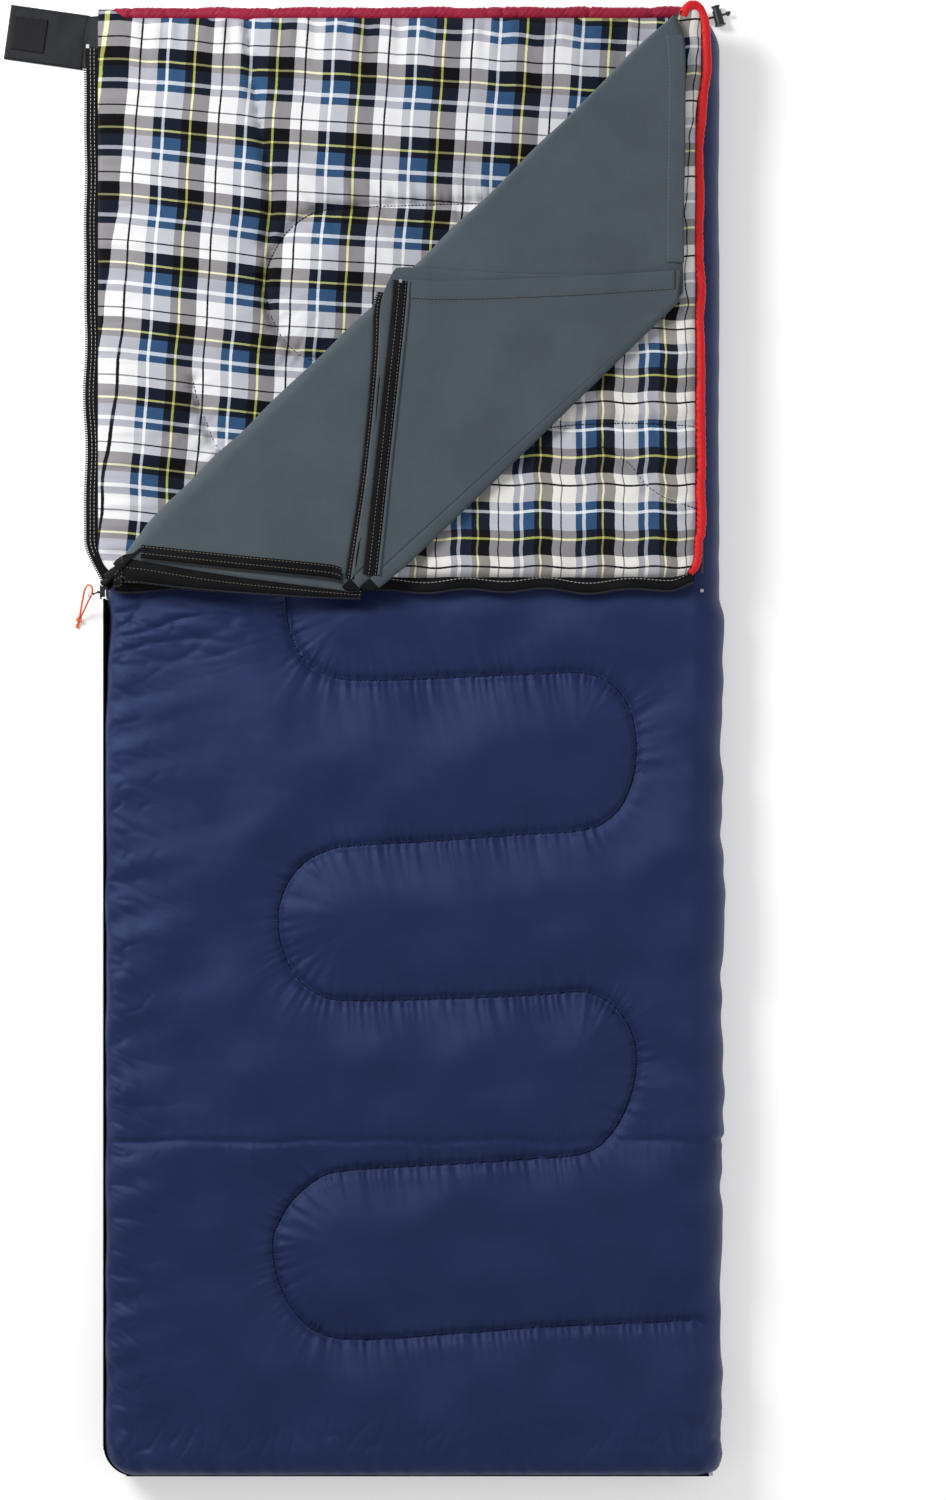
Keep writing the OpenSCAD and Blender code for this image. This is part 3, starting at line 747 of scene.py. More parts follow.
def zip_edge_wrinkles(s, y):
    """The shell's uneven wrinkles along the zip, and the tangle of them below the slider."""
    from_zip = s - LEFT
    height = edge_puckers(from_zip, y, 45, 1.4, 48, 33, lean=-0.25)
    height += edge_puckers(from_zip, y, 46, 1.0, 20, 12, lean=0.4)
    height += 2.6 * creases(143, s, y, 34, -0.5) * np.exp(-from_zip / 42) * smooth(from_zip / 14)
    below = np.exp(-((y - PINCH_Y) / 48) ** 2) * smooth((270 - from_zip) / 200)
    for seed, length, angle in ((144, 40, -0.2), (145, 34, 0.12)):
        fold = creases(seed, s, y, length, angle, stretch=4.5, sharp=0.34)
        height += 3.4 * fold * below * smooth(from_zip / 10)
    return height


def front_loft(s, y):
    """Height of the front shell above its seam. s runs across the panel and on round the
    folded side."""
    rim = 34                                    # how far in from its rim the shell rises
    edge = rounded(s - LEFT, rim) * rounded(y - foot_edge(s), rim)
    share, height = sewn(FRONT_SEAM, s, y, 11)
    join = np.abs(y - JOIN_Y - 2 * join_wave(s))
    share *= 1 - 0.28 * np.exp(-(join / 4) ** 2)
    height += edge_puckers(join, s, 43, 0.7, 14, 12)
    height += zip_edge_wrinkles(s, y)
    height += edge_puckers(y - foot_edge(s), s, 47, 1.6, 36, 30, lean=0.2)
    height += 1.6 * creases(146, s, y, 34, 1.2) * np.exp(-((y - FOOT - 45) / 30) ** 2)
    height += 1.3 * ripple(48, 44)(y + 0.1 * s) * np.exp(-((s - SEAM_X - 30) / 45) ** 2)
    height += 1.6 * ripple(49, 260)(y) * smooth((s - SEAM_X) / 30)
    under_flap = smooth((y - FLAP_FOOT + 50) / 40)
    away = near(FRONT_SEAM, s, y)[0]
    crown = 6.0 * smooth(away / 85)
    loose = 2.2 * front_field(s, y) + 0.12 * front_crease(s, y)
    lift = (crown + loose) * (1 - under_flap) + height * (1 - 0.75 * under_flap)
    return edge * ((OUT_T - 0.5) * share + lift)


SIDE_HEAD = 944.0                               # Y of the head end beside the fold line


def side_head(s):
    """Y of the head end, past the fold line's upper end and round the folded side."""
    return SIDE_HEAD - 26 * smooth((s - SEAM_X) / (SIDE_R * np.pi / 2))


def front_quilt():
    flat = np.linspace(LEFT, SEAM_X, 290)
    wrap = SEAM_X + np.linspace(0, np.pi * SIDE_R, 33)[1:]
    s = np.concatenate([flat, wrap])[:, None]
    top_y = np.minimum(s + FOLD_C - FOLD_GAP, side_head(s))
    share = np.linspace(0, 1, 440)[None]
    y = foot_edge(s) + (top_y - foot_edge(s)) * share
    s = np.broadcast_to(s, y.shape)
    on_fold = s + FOLD_C < SIDE_HEAD
    head_pinch = np.where(on_fold, 1, rounded(np.maximum(side_head(s) - y, 0), 22))
    turn = np.clip((s - SEAM_X) / SIDE_R, 0, np.pi)
    out = front_loft(s, y) * head_pinch
    out = np.where(turn > 1.3, np.minimum(out, OUT_T), out)
    rim = 24                                    # the same for the lining
    edge = rounded(s - LEFT, rim) * rounded(y - foot_edge(s), rim) * head_pinch
    inward = IN_T * edge
    mid_x = np.minimum(s, SEAM_X) + SEAM_R * np.sin(turn)
    mid_x = mid_x + zip_edge_inset(y) * (1 - smooth((s - LEFT) / 60))
    mid_z = SIDE_R + SEAM_R * np.cos(turn)
    sin, cos = np.sin(turn), np.cos(turn)
    top = stack(mid_x + out * sin, y, np.maximum(mid_z + out * cos, 0.2))
    low = stack(mid_x - inward * sin, y, mid_z - inward * cos)
    obj = pad("front_quilt", top, low, ["navy", "plaid"], plaid_on_back(s, y))
    finish_piece(obj, "bag", "navy_shell", "front_shell", "front_fill", "front_lining",
                 "side_shell", "side_fill", "side_lining")


LINING_HEAD = HEAD_Y + 7                        # the lining reaches up behind the hem
PUFF_TOP = 30.5                                 # height of the lining's highest puffs


def lining_head(x):
    """Y of the lining's head edge. At the zip's corner it is wrapped up round the hem."""
    return LINING_HEAD + 10 * smooth((-370 - x) / 12)


def back_quilt():
    x = np.linspace(LEFT, SEAM_X, 200)[:, None]
    rows = np.concatenate([np.linspace(0, 0.55, 60), np.linspace(0.55, 1, 260)[1:]])[None]
    y = foot_edge(x) + (lining_head(x) - foot_edge(x)) * rows
    x = np.broadcast_to(x, y.shape)
    rim = 26
    edge = rounded(x - LEFT, rim) * rounded(y - foot_edge(x), rim)
    edge = edge * rounded(lining_head(x) - y, 20)
    share, height = quilted(BACK_SEAMS, x, y, 51, depth=0.6, pucker=2.4, crease=2.2)
    height += edge_puckers(LINING_HEAD - y, x, 55, 3.2, 34, 26)
    height += edge_puckers(x - LEFT, y, 56, 2.8, 30, 22)
    height += 1.2 * field(57, 130)(x, y) + 0.4 * field(58, 40)(x, y) - 1.0
    away, along, _ = near(HEAD_CREASE, x, y)
    height -= 10.0 * np.exp(-(away / 7) ** 1.3) * (1 - 0.25 * ripple(59, 30)(along))
    height -= 4.0 * np.exp(-away / 26)
    puff = PUFF_TOP - BACK_SEAM_Z
    up = edge * np.minimum((puff - 1.5) * share + height, puff)
    down = np.minimum(BACK_SEAM_Z - 0.1, BACK_SEAM_Z * edge)
    upper = smooth((y - ZIP_TOP - 20) / 50)
    wide_part = 14 * np.exp(-((x - LEFT - 3) / 12) ** 2)
    edge_part = 4 * np.exp(-((x - LEFT) / 9) ** 2)
    bulge = (wide_part + edge_part) * upper * rounded(x - LEFT, 6)
    top = stack(x - bulge, y, BACK_SEAM_Z + up)
    low = stack(x, y, BACK_SEAM_Z - down)
    obj = pad("back_quilt", top, low, ["plaid", "navy"], plaid_on_back(x, y))
    finish_piece(obj, "bag", "plaid_flannel", "back_shell", "back_fill", "back_lining")


def flap_right_edge(y):
    """X of the turned corner's head edge, rounded off at its foot."""
    r = 26.0
    into = np.clip(r - (y - FLAP_FOOT), 0, r)
    return FLAP_RIGHT - r + np.sqrt(r * r - into * into) + 7 * smooth((y - 800) / 60)


def flap_quilt():
    rows = np.linspace(FLAP_FOOT, FLAP_HEAD - 2, 150)[None]
    share = np.linspace(0, 1, 130)[:, None]
    start = rows - FOLD_C + FOLD_GAP
    x = start + (flap_right_edge(rows) - start) * share
    y = np.broadcast_to(rows, x.shape)
    right = flap_right_edge(y) - x
    edge = rounded(y - FLAP_FOOT, 20) * rounded(right, 20) * rounded(FLAP_HEAD - 2 - y, 16)
    pull, height = quilted(FLAP_SEAMS, x, y, 61, depth=0.5, pucker=2.2, crease=1.6)
    height += edge_puckers(right, y, 65, 2.6, 30, 26)
    height += edge_puckers(y - FLAP_FOOT, x, 66, 2.2, 34, 30)
    height += 1.2 * field(67, 110)(x, y) + 0.4 * field(68, 34)(x, y)
    up = edge * np.minimum((IN_T - 4.5) * pull + height, IN_T - 2.0)
    down = edge * (OUT_T - 0.3)
    # The turned corner's lining takes the lighter, warmer copy of the flannel: painted light
    obj = pad("flap_quilt", stack(x, y, FLAP_SEAM_Z + up), stack(x, y, FLAP_SEAM_Z - down),
              ["plaid_turned_painted_light", "navy"], plaid_on_flap(x, y))
    finish_piece(obj, "flap", "plaid_flannel", "flap_shell", "flap_fill", "flap_lining")


# ---- cloth round the main fold

FOLD_OUT = np.array([-1.0, 1.0, 0.0]) / math.sqrt(2)      # out past the fold line, in plan


def nose_depth(x):
    """How far the outermost cloth bulges past the fold line: slack at the zip, drawn tight
    towards the head."""
    return np.interp(x, [-380, -300, -150, 0, 150, 280, 335], [19, 21, 17, 12, 8, 7, 6])


def nose_rows(from_x, to_x, count, radius, tuck, zip_end=None):
    """Grid of cloth round the fold, from under it to over it. tuck is how much less deep
    than the outermost cloth it lies. It is shallower past zip_end."""
    zip_end = from_x if zip_end is None else zip_end
    x = np.linspace(from_x, to_x, count)[:, None]
    turn = np.linspace(-np.pi / 2, np.pi / 2, 17)[None]
    depth = np.maximum(nose_depth(x) - tuck, 1.0) + 0.8 * ripple(71, 90)(x)
    ease = 1 - 0.5 * smooth((x - to_x + 25) / 25) - 0.25 * smooth((zip_end + 20 - x) / 20)
    out = depth * ease * np.cos(turn)
    return stack(x + out * FOLD_OUT[0], x + FOLD_C + out * FOLD_OUT[1],
                 FOLD_Z + radius * np.sin(turn))


def bends_round_fold(obj):
    """Bakes a piece's placement into its mesh. The piece lies round the fold, between the bag and
    the turned corner, and is not attached to either body."""
    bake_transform(obj)


def fold_quilt():
    """The panel's own lining and wadding where they bend round the fold."""
    zip_turn = nose_rows(LEFT + 4, LEFT + 26, 10, FOLD_Z - 44, 5.5, zip_end=LEFT + 26)
    strip = cloth_sheet("front_zip_turn", zip_turn[:, ::-1], 1.2, "tape")
    bends_round_fold(strip)
    outer = nose_rows(LEFT + 25, FLAP_HEAD - 10 - FOLD_C, 150, FOLD_Z - 44, 6)
    flat = outer.copy()
    x = (outer[..., 0] + outer[..., 1] - FOLD_C) / 2
    flat[..., 0], flat[..., 1] = x, x + FOLD_C
    spots = plaid_on_flap(outer[..., 0], outer[..., 1])
    obj = pad("fold_quilt", outer, flat, ["plaid", "plaid"], spots)
    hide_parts("front_lining_fold", "front_fill_fold")
    bends_round_fold(obj)


# ---- fleece liner

SHEET_T = 1.9                                   # thickness of the fleece
# The second fold of each liner sheet: a point on it, and its way in plan
OUTER_FOLD = (joint_at("corner_fold"), math.radians(42.5))
INNER_FOLD = (joint_at("corner_inner_fold"), math.radians(41.75))
drape_field = field(81, 190)
# Zip edges of the liner's two sheets on the turned corner, from the fold to the second fold
INNER_ZIP_LINE = [(-343, 247), (-250, 237), (-150, 227), (-102, 222), (-84, 214), (-74, 210)]
OUTER_ZIP_LINE = [(-356, 236), (-245, 215), (-150, 202), (-95, 195), (-72, 192), (-60, 194)]
CORNER_HEAD = [(-7, 590), (60, 588), (200, 593), (346, 602)]


def on_second_fold(x, fold):
    """The point of a second fold at x."""
    point, angle = fold
    return x, point[1] + (x - point[0]) * math.tan(angle)


def drape(x, y):
    """How far the stacked fleece rises and falls together over the quilt. It dies away at
    both fold lines, where layers bend."""
    from_fold = (x + FOLD_C - y) / math.sqrt(2)
    second = (y - on_second_fold(x, OUTER_FOLD)[1]) * math.cos(OUTER_FOLD[1])
    calm = smooth(from_fold / 60) * smooth((second - 6) / 50)
    return (0.45 + 0.55 * drape_field(x, y)) * calm


def hem_strip(name, edge, inward, wide, middle_z, body):
    """A turned hem: a second layer of fleece along an edge, stitched at its inner side."""
    share = np.linspace(0, 1, 9)[None]
    x = edge[:, :1] + share * wide * inward[0]
    y = edge[:, 1:2] + share * wide * inward[1]
    z = middle_z + drape(x, y) + 1.5 - 0.7 * share ** 6
    finish_piece(cloth_sheet(name, stack(x, y, z), 1.3, "fleece"), body, "fleece")
    inner = stack(x[:, -1], y[:, -1], z[:, -1] + 0.95) - 1.6 * np.array([*inward, 0])
    stitches(f"{name}_stitches", inner, "tan_thread", body, "fleece", length=2.2, gap=2.4,
             r=0.3)


def liner_layer(half, middle_z, tuck, zip_line, fold):
    """One liner sheet from round the main fold over the turned corner. zip_line is its zip
    edge, from the main fold to the second one."""
    rows = 120
    from_x, to_x, edge_x = zip_line[0][0], 337.0, 349.0
    nose = nose_rows(from_x, to_x, rows, middle_z - FOLD_Z, tuck)
    along = np.linspace(from_x, to_x, rows)
    start = np.stack([along, along + FOLD_C], -1)
    end = even([on_second_fold(zip_line[-1][0], fold), on_second_fold(edge_x, fold)], rows)
    left = even([start[0], *zip_line[1:-1], end[0]], 90)
    right = even([start[-1], (edge_x, 905), (352, 860), (350, 760), (347, 680), end[-1]], 90)
    x, y = np.moveaxis(coons(start, end, left, right), -1, 0)
    leaf = stack(x, y, middle_z + drape(x, y) - 3 * smooth((x - 335) / 16))
    grid = np.concatenate([nose, leaf[:, 1:]], axis=1)
    obj = cloth_sheet(f"liner_{half}_turned", grid[:, ::-1], SHEET_T, "fleece")
    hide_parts(f"liner_{half}_fold", f"liner_{half}_flap")
    bends_round_fold(obj)


def bag_sheet(name, z, *nodes):
    """Liner sheet inside the closed part of the bag."""
    foot = -932
    x = np.linspace(-376, 352, 60)[:, None]
    head = np.minimum(x + FOLD_C - 2, 936)
    y = foot + (head - foot) * np.linspace(0, 1, 90)[None]
    lift = 0.5 * field(83, 160)(x, y)
    obj = cloth_sheet(name, stack(x, y, z + 0.12 * lift), SHEET_T, "fleece")
    finish_piece(obj, "bag", "fleece", *nodes)


def corner_nose(name, fold, reach, layers, run, material, end=0.0):
    """Cloth that bends round the liner's second fold, over the given run along it. reach is
    its depth at the zip end and at the head end; layers are its two leaves' middles; end is
    the length of a rounded end."""
    point, angle = fold
    way = np.array([math.cos(angle), math.sin(angle), 0])
    out = np.array([math.sin(angle), -math.cos(angle), 0])
    run = np.linspace(*run, max(12, int((run[1] - run[0]) / 5)))
    depth = np.interp(run, [0, 60, 250, 545], [reach[0] * 0.82, reach[0], *reach[1:]])
    if end:
        depth = depth * np.sqrt(1 - 0.94 * np.clip((run[0] + end - run) / end, 0, 1) ** 2)
    middle, half = sum(layers) / 2, (layers[1] - layers[0]) / 2
    turn = np.linspace(-np.pi / 2, np.pi / 2, 13)
    base = np.array([point[0], point[1], middle]) + run[:, None] * way
    grid = (base[:, None] + (depth[:, None] * np.cos(turn)[None] - 1)[..., None] * out
            + (half * np.sin(turn))[None, :, None] * np.array([0, 0, 1.0]))
    obj = cloth_sheet(name, grid[::-1], SHEET_T, material)
    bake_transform(obj)
    return obj


def corner_sheet(half, z, from_x, fold, left, head, child):
    """The liner's corner, folded back over the rest."""
    foot = even([on_second_fold(from_x, fold), on_second_fold(342, fold)], 100)
    top = even(head, 100)
    sides = even([foot[0], *left, top[0]], 70), even([foot[-1], top[-1]], 70)
    x, y = np.moveaxis(coons(foot, top, *sides), -1, 0)
    obj = cloth_sheet(f"corner_{half}_sheet", stack(x, y, z + drape(x, y)), SHEET_T, "fleece")
    finish_piece(obj, child, "fleece", f"liner_{half}_corner")


def liner():
    upper_mid, lower_mid = (box_middle(f"liner_{n}_flap")[2] for n in ("upper", "lower"))
    up_z, low_z = (box_middle(f"liner_{n}_corner")[2] for n in ("upper", "lower"))
    liner_layer("upper", upper_mid, 2.7, OUTER_ZIP_LINE, OUTER_FOLD)
    liner_layer("lower", lower_mid, 0, INNER_ZIP_LINE, INNER_FOLD)
    bag_sheet("liner_upper_in_bag", 2 * FOLD_Z - upper_mid, "liner_upper_sheet",
              "liner_binding")
    bag_sheet("liner_lower_in_bag", 2 * FOLD_Z - lower_mid, "liner_lower_sheet")
    for name, line, middle, tuck in (("outer", OUTER_ZIP_LINE, upper_mid, 2.2),
                                     ("inner", INNER_ZIP_LINE, lower_mid, -0.5)):
        start = line[0][0]
        grid = nose_rows(start - 28, start + 1, 12, middle - FOLD_Z + 0.4, tuck, zip_end=start)
        cap = cloth_sheet(f"liner_{name}_zip_turn", grid[:, ::-1], 1.4, "tape")
        bends_round_fold(cap)
    for half, fold, reach, layers, child in (
            ("lower", INNER_FOLD, (18, 15, 10), (lower_mid, low_z), "liner_corner_inner"),
            ("upper", OUTER_FOLD, (18.5, 14, 5), (upper_mid, up_z), "liner_corner")):
        nose = corner_nose(f"corner_{half}_nose", fold, reach, layers, (13, 545), "fleece")
        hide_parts(f"corner_{half}_fold")
        corner_nose(f"corner_{half}_zip_turn", fold, [r + 0.5 for r in reach], layers, (-1, 14),
                    "tape", end=13.0)
    corner_sheet("lower", low_z, -76, INNER_FOLD, [(-56, 340), (-42, 480), (-37, 560)],
                 [(-22, 600), (0, 606), (160, 597), (342, 597)], "liner_corner_inner")
    corner_sheet("upper", up_z, -47, OUTER_FOLD, [(-27, 400), (-12, 540)], CORNER_HEAD,
                 "liner_corner")
    hem_strip("corner_hem", even(CORNER_HEAD, 90)[2:-2], (0, -1), 24, up_z, "liner_corner")
    edge = [(349.5, 612), (349.5, 680), (351, 760), (351.5, 860), (348.5, 903)]
    hem_strip("turned_hem", even(edge, 90), (-1, 0), 22, lower_mid, "flap")


# ---- hems

def gathered_hem(name, path, radius, material, seed, pitch=27.0):
    """Drawcord tunnel, gathered on its cord: fat between gathers, pinched and creased at
    them."""
    run = run_along(path)
    angle = np.linspace(0, 2 * np.pi, 24, endpoint=False)[None]
    at = run / pitch + 0.35 * ripple(seed, 80)(run)
    pinch = np.exp(-(np.sin(np.pi * at) / 0.45) ** 2)[:, None]
    pinch = pinch * (0.55 + 0.45 * ripple(seed + 3, 70)(run))[:, None]
    fine = ripple(seed + 1, 6)(run[:, None] + 9 * np.sin(angle + 1) + 3 * np.cos(2 * angle))
    radii = radius * (1 - 0.17 * pinch + (0.055 + 0.06 * pinch) * fine)
    sway = ripple(seed + 2, 90)(run)
    path = path + np.stack([0.8 * sway, 0.8 * np.roll(sway, 9), 0 * sway], -1)
    return tube_mesh(name, path, radii, material, sides=24, flatten=0.85)


def hems():
    low, high = node_box("back_head_hem")
    _, y, z = box_middle("back_head_hem")
    path = even([(low[0] + 10, y - 1, z + 3), (low[0] + 40, y + 1, z + 3), (0, y + 2, z + 3),
                 (350, y + 2, z + 3), (high[0] - 3, y, z + 1)], 480)
    hem = gathered_hem("back_head_hem_visual", path, 8.3, "crimson", 91)
    finish_piece(hem, "bag", "crimson_hem", "back_head_hem")
    x, _, z = box_middle("flap_head_hem")
    path = even([(358, 217, z + 3), (366, 230, z + 2), (x - 4, 262, z), (x - 1, 300, z),
                 (x - 3, 600, z), (x - 4, 740, z), (x, 812, z), (x + 5, 858, z), (x + 6, 900, z),
                 (x + 3, 926, z + 2), (x - 5, 942, z + 5), (x - 14, 944, z + 8),
                 (x - 22, 937, z + 10), (x - 25, 929, z + 10)], 480)
    hem = gathered_hem("flap_head_hem_visual", path, 6.3, "red", 95, pitch=23)
    finish_piece(hem, "flap", "red_hem", "flap_head_hem")


# ---- zips

def main_zip():
    """Closed stretch down the side and round the foot: two tapes on edge, and the coils."""
    r = CORNER_R
    foot_end = node_box("front_zip_tape")[1][0]
    turn = np.linspace(np.pi, 1.5 * np.pi, 9)
    corner = [(LEFT + r + (r + 0.4) * math.cos(a), FOOT + r + (r + 0.4) * math.sin(a))
              for a in turn]
    line = [(LEFT - 0.4, ZIP_TOP), (LEFT - 0.4, 0), (LEFT - 0.4, -600),
            (LEFT - 0.4, FOOT + r + 20)] + corner + [(LEFT + r + 20, FOOT - 0.4),
                                                     (0, FOOT - 0.4), (foot_end, FOOT - 0.4)]
    plan = even(line, 500)

    def at(height, out=0.0):
        way = np.gradient(plan, axis=0)
        way /= np.linalg.norm(way, axis=1, keepdims=True)
        side = np.stack([way[:, 1], -way[:, 0]], -1)
        where = plan + out * side
        return stack(where[:, 0], where[:, 1], height)

    halves = (("back", -1), ("front", 1))
    for name, low, high in (("back", BACK_SEAM_Z - 1, SIDE_R - 1.2),
                            ("front", SIDE_R + 1.2, FRONT_SEAM_Z + 1)):
        tape(f"{name}_zip_tape_closed", at(low), at(high), "bag", f"{name}_zip_tape")
    for name, up in halves:
        coil(f"{name}_zip_coil_closed", at(SIDE_R + 2.3 * up, 2.3), "bag", f"{name}_zip_coil",
             wide=2.8, high=2.8)
    for name, up in halves:
        stitches(f"{name}_zip_seam_closed", at(SIDE_R + 9 * up, 0.8), "dark_thread", "bag",
                 "zip_tape")


def open_zip():
    """Opened stretch of the back tape, lying flat beside the panel."""
    low, high = node_box("back_zip_tape")
    wave = ripple(101, 120)
    y = np.linspace(ZIP_TOP + 12, high[1], 240)
    drawn = smooth((ZIP_TOP + 80 - y) / 74)     # the tape is drawn in towards the slider
    x_out = low[0] - 2.5 + 26 * drawn + 0.9 * wave(y)
    z = 12.6 + 12 * drawn
    outer = stack(x_out, y, z)
    inner = stack(np.maximum(x_out + 20 + 12 * drawn, LEFT - 1), y, z + 9 * drawn)
    tape("open_zip_tape", outer, inner, "bag", "back_zip_tape")
    coil("open_zip_coil", stack(x_out - 1.6, y, z), "bag", "back_zip_coil")
    for k, into in enumerate((5.5, 10.5)):
        stitches(f"open_zip_seam_{k}", stack(x_out + into, y, z + 0.8), "thread", "bag",
                 "zip_tape")


def flap_zip():
    low, high = node_box("flap_zip_tape")
    x = np.linspace(low[0], high[0] - 8, 260)
    wave = 2.2 * ripple(103, 130)(x) * smooth((high[0] - x) / 60)
    lift = 12 * smooth((x - high[0] + 40) / 40)
    y = low[1] + wave + lift
    z = FLAP_SEAM_Z + 0.8 * ripple(104, 60)(x)
    tape("flap_zip_tape_visual", stack(x, y, z), stack(x, y + 17, z + 1), "flap",
         "flap_zip_tape")
    coil("flap_zip_coil_visual", stack(x, y - 1.6, z), "flap", "flap_zip_coil")
    stitches("flap_zip_seam", stack(x, y + 12, z + 1.4), "thread", "flap", "zip_tape")


def liner_zip_piece(name, edge, outward, body, node, wide):
    """A liner zip half sewn to a fleece edge: tape, coil and two rows of stitches. outward
    points from the fleece to the teeth; wide is the tape's width at each point."""
    step = np.array([*outward, 0.0])
    wide = wide[:, None]
    outer = edge + step * wide
    tape(name, outer, edge - step * 5, body, node)
    coil(f"{name}_coil", outer + step * 1.2, body, wide=3.0, high=2.2)
    for k, share in enumerate((0.45, -0.25)):
        seam = edge + step * wide * share + np.array([0, 0, 0.9])
        stitches(f"{name}_seam_{k}", seam, "tan_thread", body, "zip_tape", length=2.6, gap=2.0)


# Zip halves on the liner's edges: the sheet's node, its body, the edge, how far the zip lies
# above the sheet, the share of the drape it follows, the way to the teeth, and the tape's
# width at given X
LINER_ZIPS = (
    ("liner_lower_flap", "flap", INNER_ZIP_LINE[:-2] + [(-88, 218)], 0.3, 1, (-0.07, -1),
     (0,), (12,)),
    ("liner_upper_flap", "flap", [(-378, 211), (-368, 221)] + OUTER_ZIP_LINE[:-1] + [(-61, 191)],
     -1.2, 0, (-0.07, -1), (-378, -368, -356, -300, -245, -120, -61), (10, 20, 30, 26, 20, 12, 6)),
    ("liner_lower_corner", "liner_corner_inner",
     [(-76, 208), (-56, 340), (-42, 480), (-39, 552), (-34, 574)], -0.9, 1, (-1, 0.1),
     (0,), (6,)),
    ("liner_upper_corner", "liner_corner", [(-47, 213), (-27, 400), (-12, 540), (-8, 588)],
     0.2, 1, (-1, 0.1), (0,), (12,)),
)


def liner_zips():
    """Zip halves along the liner's edges on the turned corner, the folded-back one and in
    the bag, and the fleece piping beside the last of them."""
    for node, body, points, lift, share, outward, stops, widths in LINER_ZIPS:
        x, y = even(points, 130).T
        line = stack(x, y, node_box(node)[1][2] + share * drape(x, y) + lift)
        liner_zip_piece(f"{node}_tape", line, outward, body, f"{node}_zip",
                        np.interp(x, stops, widths))
    piping = tube_mesh("liner_corner_piping", line + np.array([7.5, 0, 0.2]), 2.1, "fleece",
                       sides=10)
    finish_piece(piping, "liner_corner", "fleece")
    for half in ("liner_upper", "liner_lower"):
        low, high = node_box(f"{half}_zip")
        y = np.linspace(low[1], high[1], 300)
        z = (low[2] + high[2]) / 2
        tape(f"{half}_bag_tape", stack(low[0] + 3, y, z), stack(high[0] - 0.5, y, z), "bag",
             f"{half}_zip")
        coil(f"{half}_bag_tape_coil", stack(low[0] + 1.5, y, z), "bag", wide=2.8, high=2.0)


# ---- stitching, and painted shade along the quilting seams

def top_of(obj, path):
    """The path laid on top of a finished mesh."""
    tree = BVHTree.FromPolygons([v.co for v in obj.data.vertices],
                                [list(p.vertices) for p in obj.data.polygons])
    points = []
    for x, y in path:
        hit = tree.ray_cast(Vector((x * MM, y * MM, 0.3)), Vector((0, 0, -1)))[0]
        if hit is not None:
            points.append((x, y, hit.z / MM))
    return np.array(points)


def quilt_stitches():
    # Thread and painted shade: the quilting stitches are near black and drawn wide, so that they
    # also stand in for the shadow in the seam grooves.
    path = FRONT_SEAM[(FRONT_SEAM[:, 1] < FLAP_FOOT - 12) & (FRONT_SEAM[:, 0] < SEAM_X)]
    x, y = spline(path, 4.0).T
    line = stack(x, y, FRONT_SEAM_Z + front_loft(x, y) + 0.5)
    stitches("front_quilt_stitches_and_groove_shade", line, "dark_thread", "bag", "navy_shell", length=3.4,
             gap=0.8, r=0.95)
    for name, body, seams in (("back_quilt", "bag", BACK_SEAMS),
                              ("flap_quilt", "flap", FLAP_SEAMS)):
        quilt = bpy.data.objects[name]
        for k, path in enumerate(seams):
            line = top_of(quilt, spline(path, 4.0)) + np.array([0, 0, 0.2])
            stitches(f"{name}_stitches_{k}", line, "dark_thread", body, "plaid_flannel",
                     length=3.4, gap=1.2, r=0.7)


# ---- closure tab

def closure_tab():
    centre = box_middle("tab_fabric")
    turn = math.radians(-8)
    way = (math.cos(turn), math.sin(turn))
    side = (-math.sin(turn), math.cos(turn))
    wave = field(111, 45)

    def place(a, b):
        """X and Y of a point a along the tab and b across it, from its middle."""
        return [centre[k] + a * way[k] + b * side[k] for k in (0, 1)]

    def layer(name, from_a, to_a, half_wide, z, thick, material):
        """One layer of the tab, its rim rounded."""
        a = np.linspace(from_a, to_a, 48)[:, None]
        b = np.linspace(-half_wide, half_wide, 36)[None]
        rim = np.minimum(np.minimum(a - from_a, to_a - a), half_wide - np.abs(b))
        x, y = place(a, b)
        lift = 0.35 * wave(x, y) * smooth(rim / 8)
        body = rounded(rim, 3) * thick / 2
        return pad(name, stack(x, y, z + lift + body), stack(x, y, z + lift * 0.3 - body),
                   [material, material])

    tab = layer("closure_tab_cloth", -52, 52, 36, 2.3, 3.0, "satin")
    finish_piece(tab, "closure_tab", "tab_satin", "tab_fabric")
    patch = layer("closure_tab_hooks", -45, -1, 22, 4.6, 1.9, "hooks")
    finish_piece(patch, "closure_tab", "hook_patch", "tab_hook_patch")
    for name, left, right, half_wide, top in (("closure_tab_seam", -47, 46, 31, 4.0),
                                              ("closure_tab_patch_seam", -43, -3, 20, 5.75)):
        ring = np.array([(left, -1), (right, -1), (right, 1), (left, 1), (left, -1)], float)
        ring[:, 1] *= half_wide
        line = np.vstack([np.linspace(a, b, 30)[:-1] for a, b in zip(ring, ring[1:])])
        x, y = place(line[:, 0], line[:, 1])
        stitches(name, stack(x, y, top), "coil", "closure_tab", "tab_satin", length=2.2,
                 gap=1.4, r=0.3)
    a = np.linspace(0, 1, 24)[:, None]
    b = np.linspace(-34, 34, 24)[None]
    start = place(49, 0)
    x = start[0] + side[0] * b + a * 36
    y = start[1] + side[1] * b * (1 - 0.1 * a) + a * 4
    z = 2.2 + 10.5 * smooth(a) + 0.5 * wave(x, y)
    root = cloth_sheet("closure_tab_root", stack(x, y, z), 2.6, "satin")
    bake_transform(root)


# ---- free cords

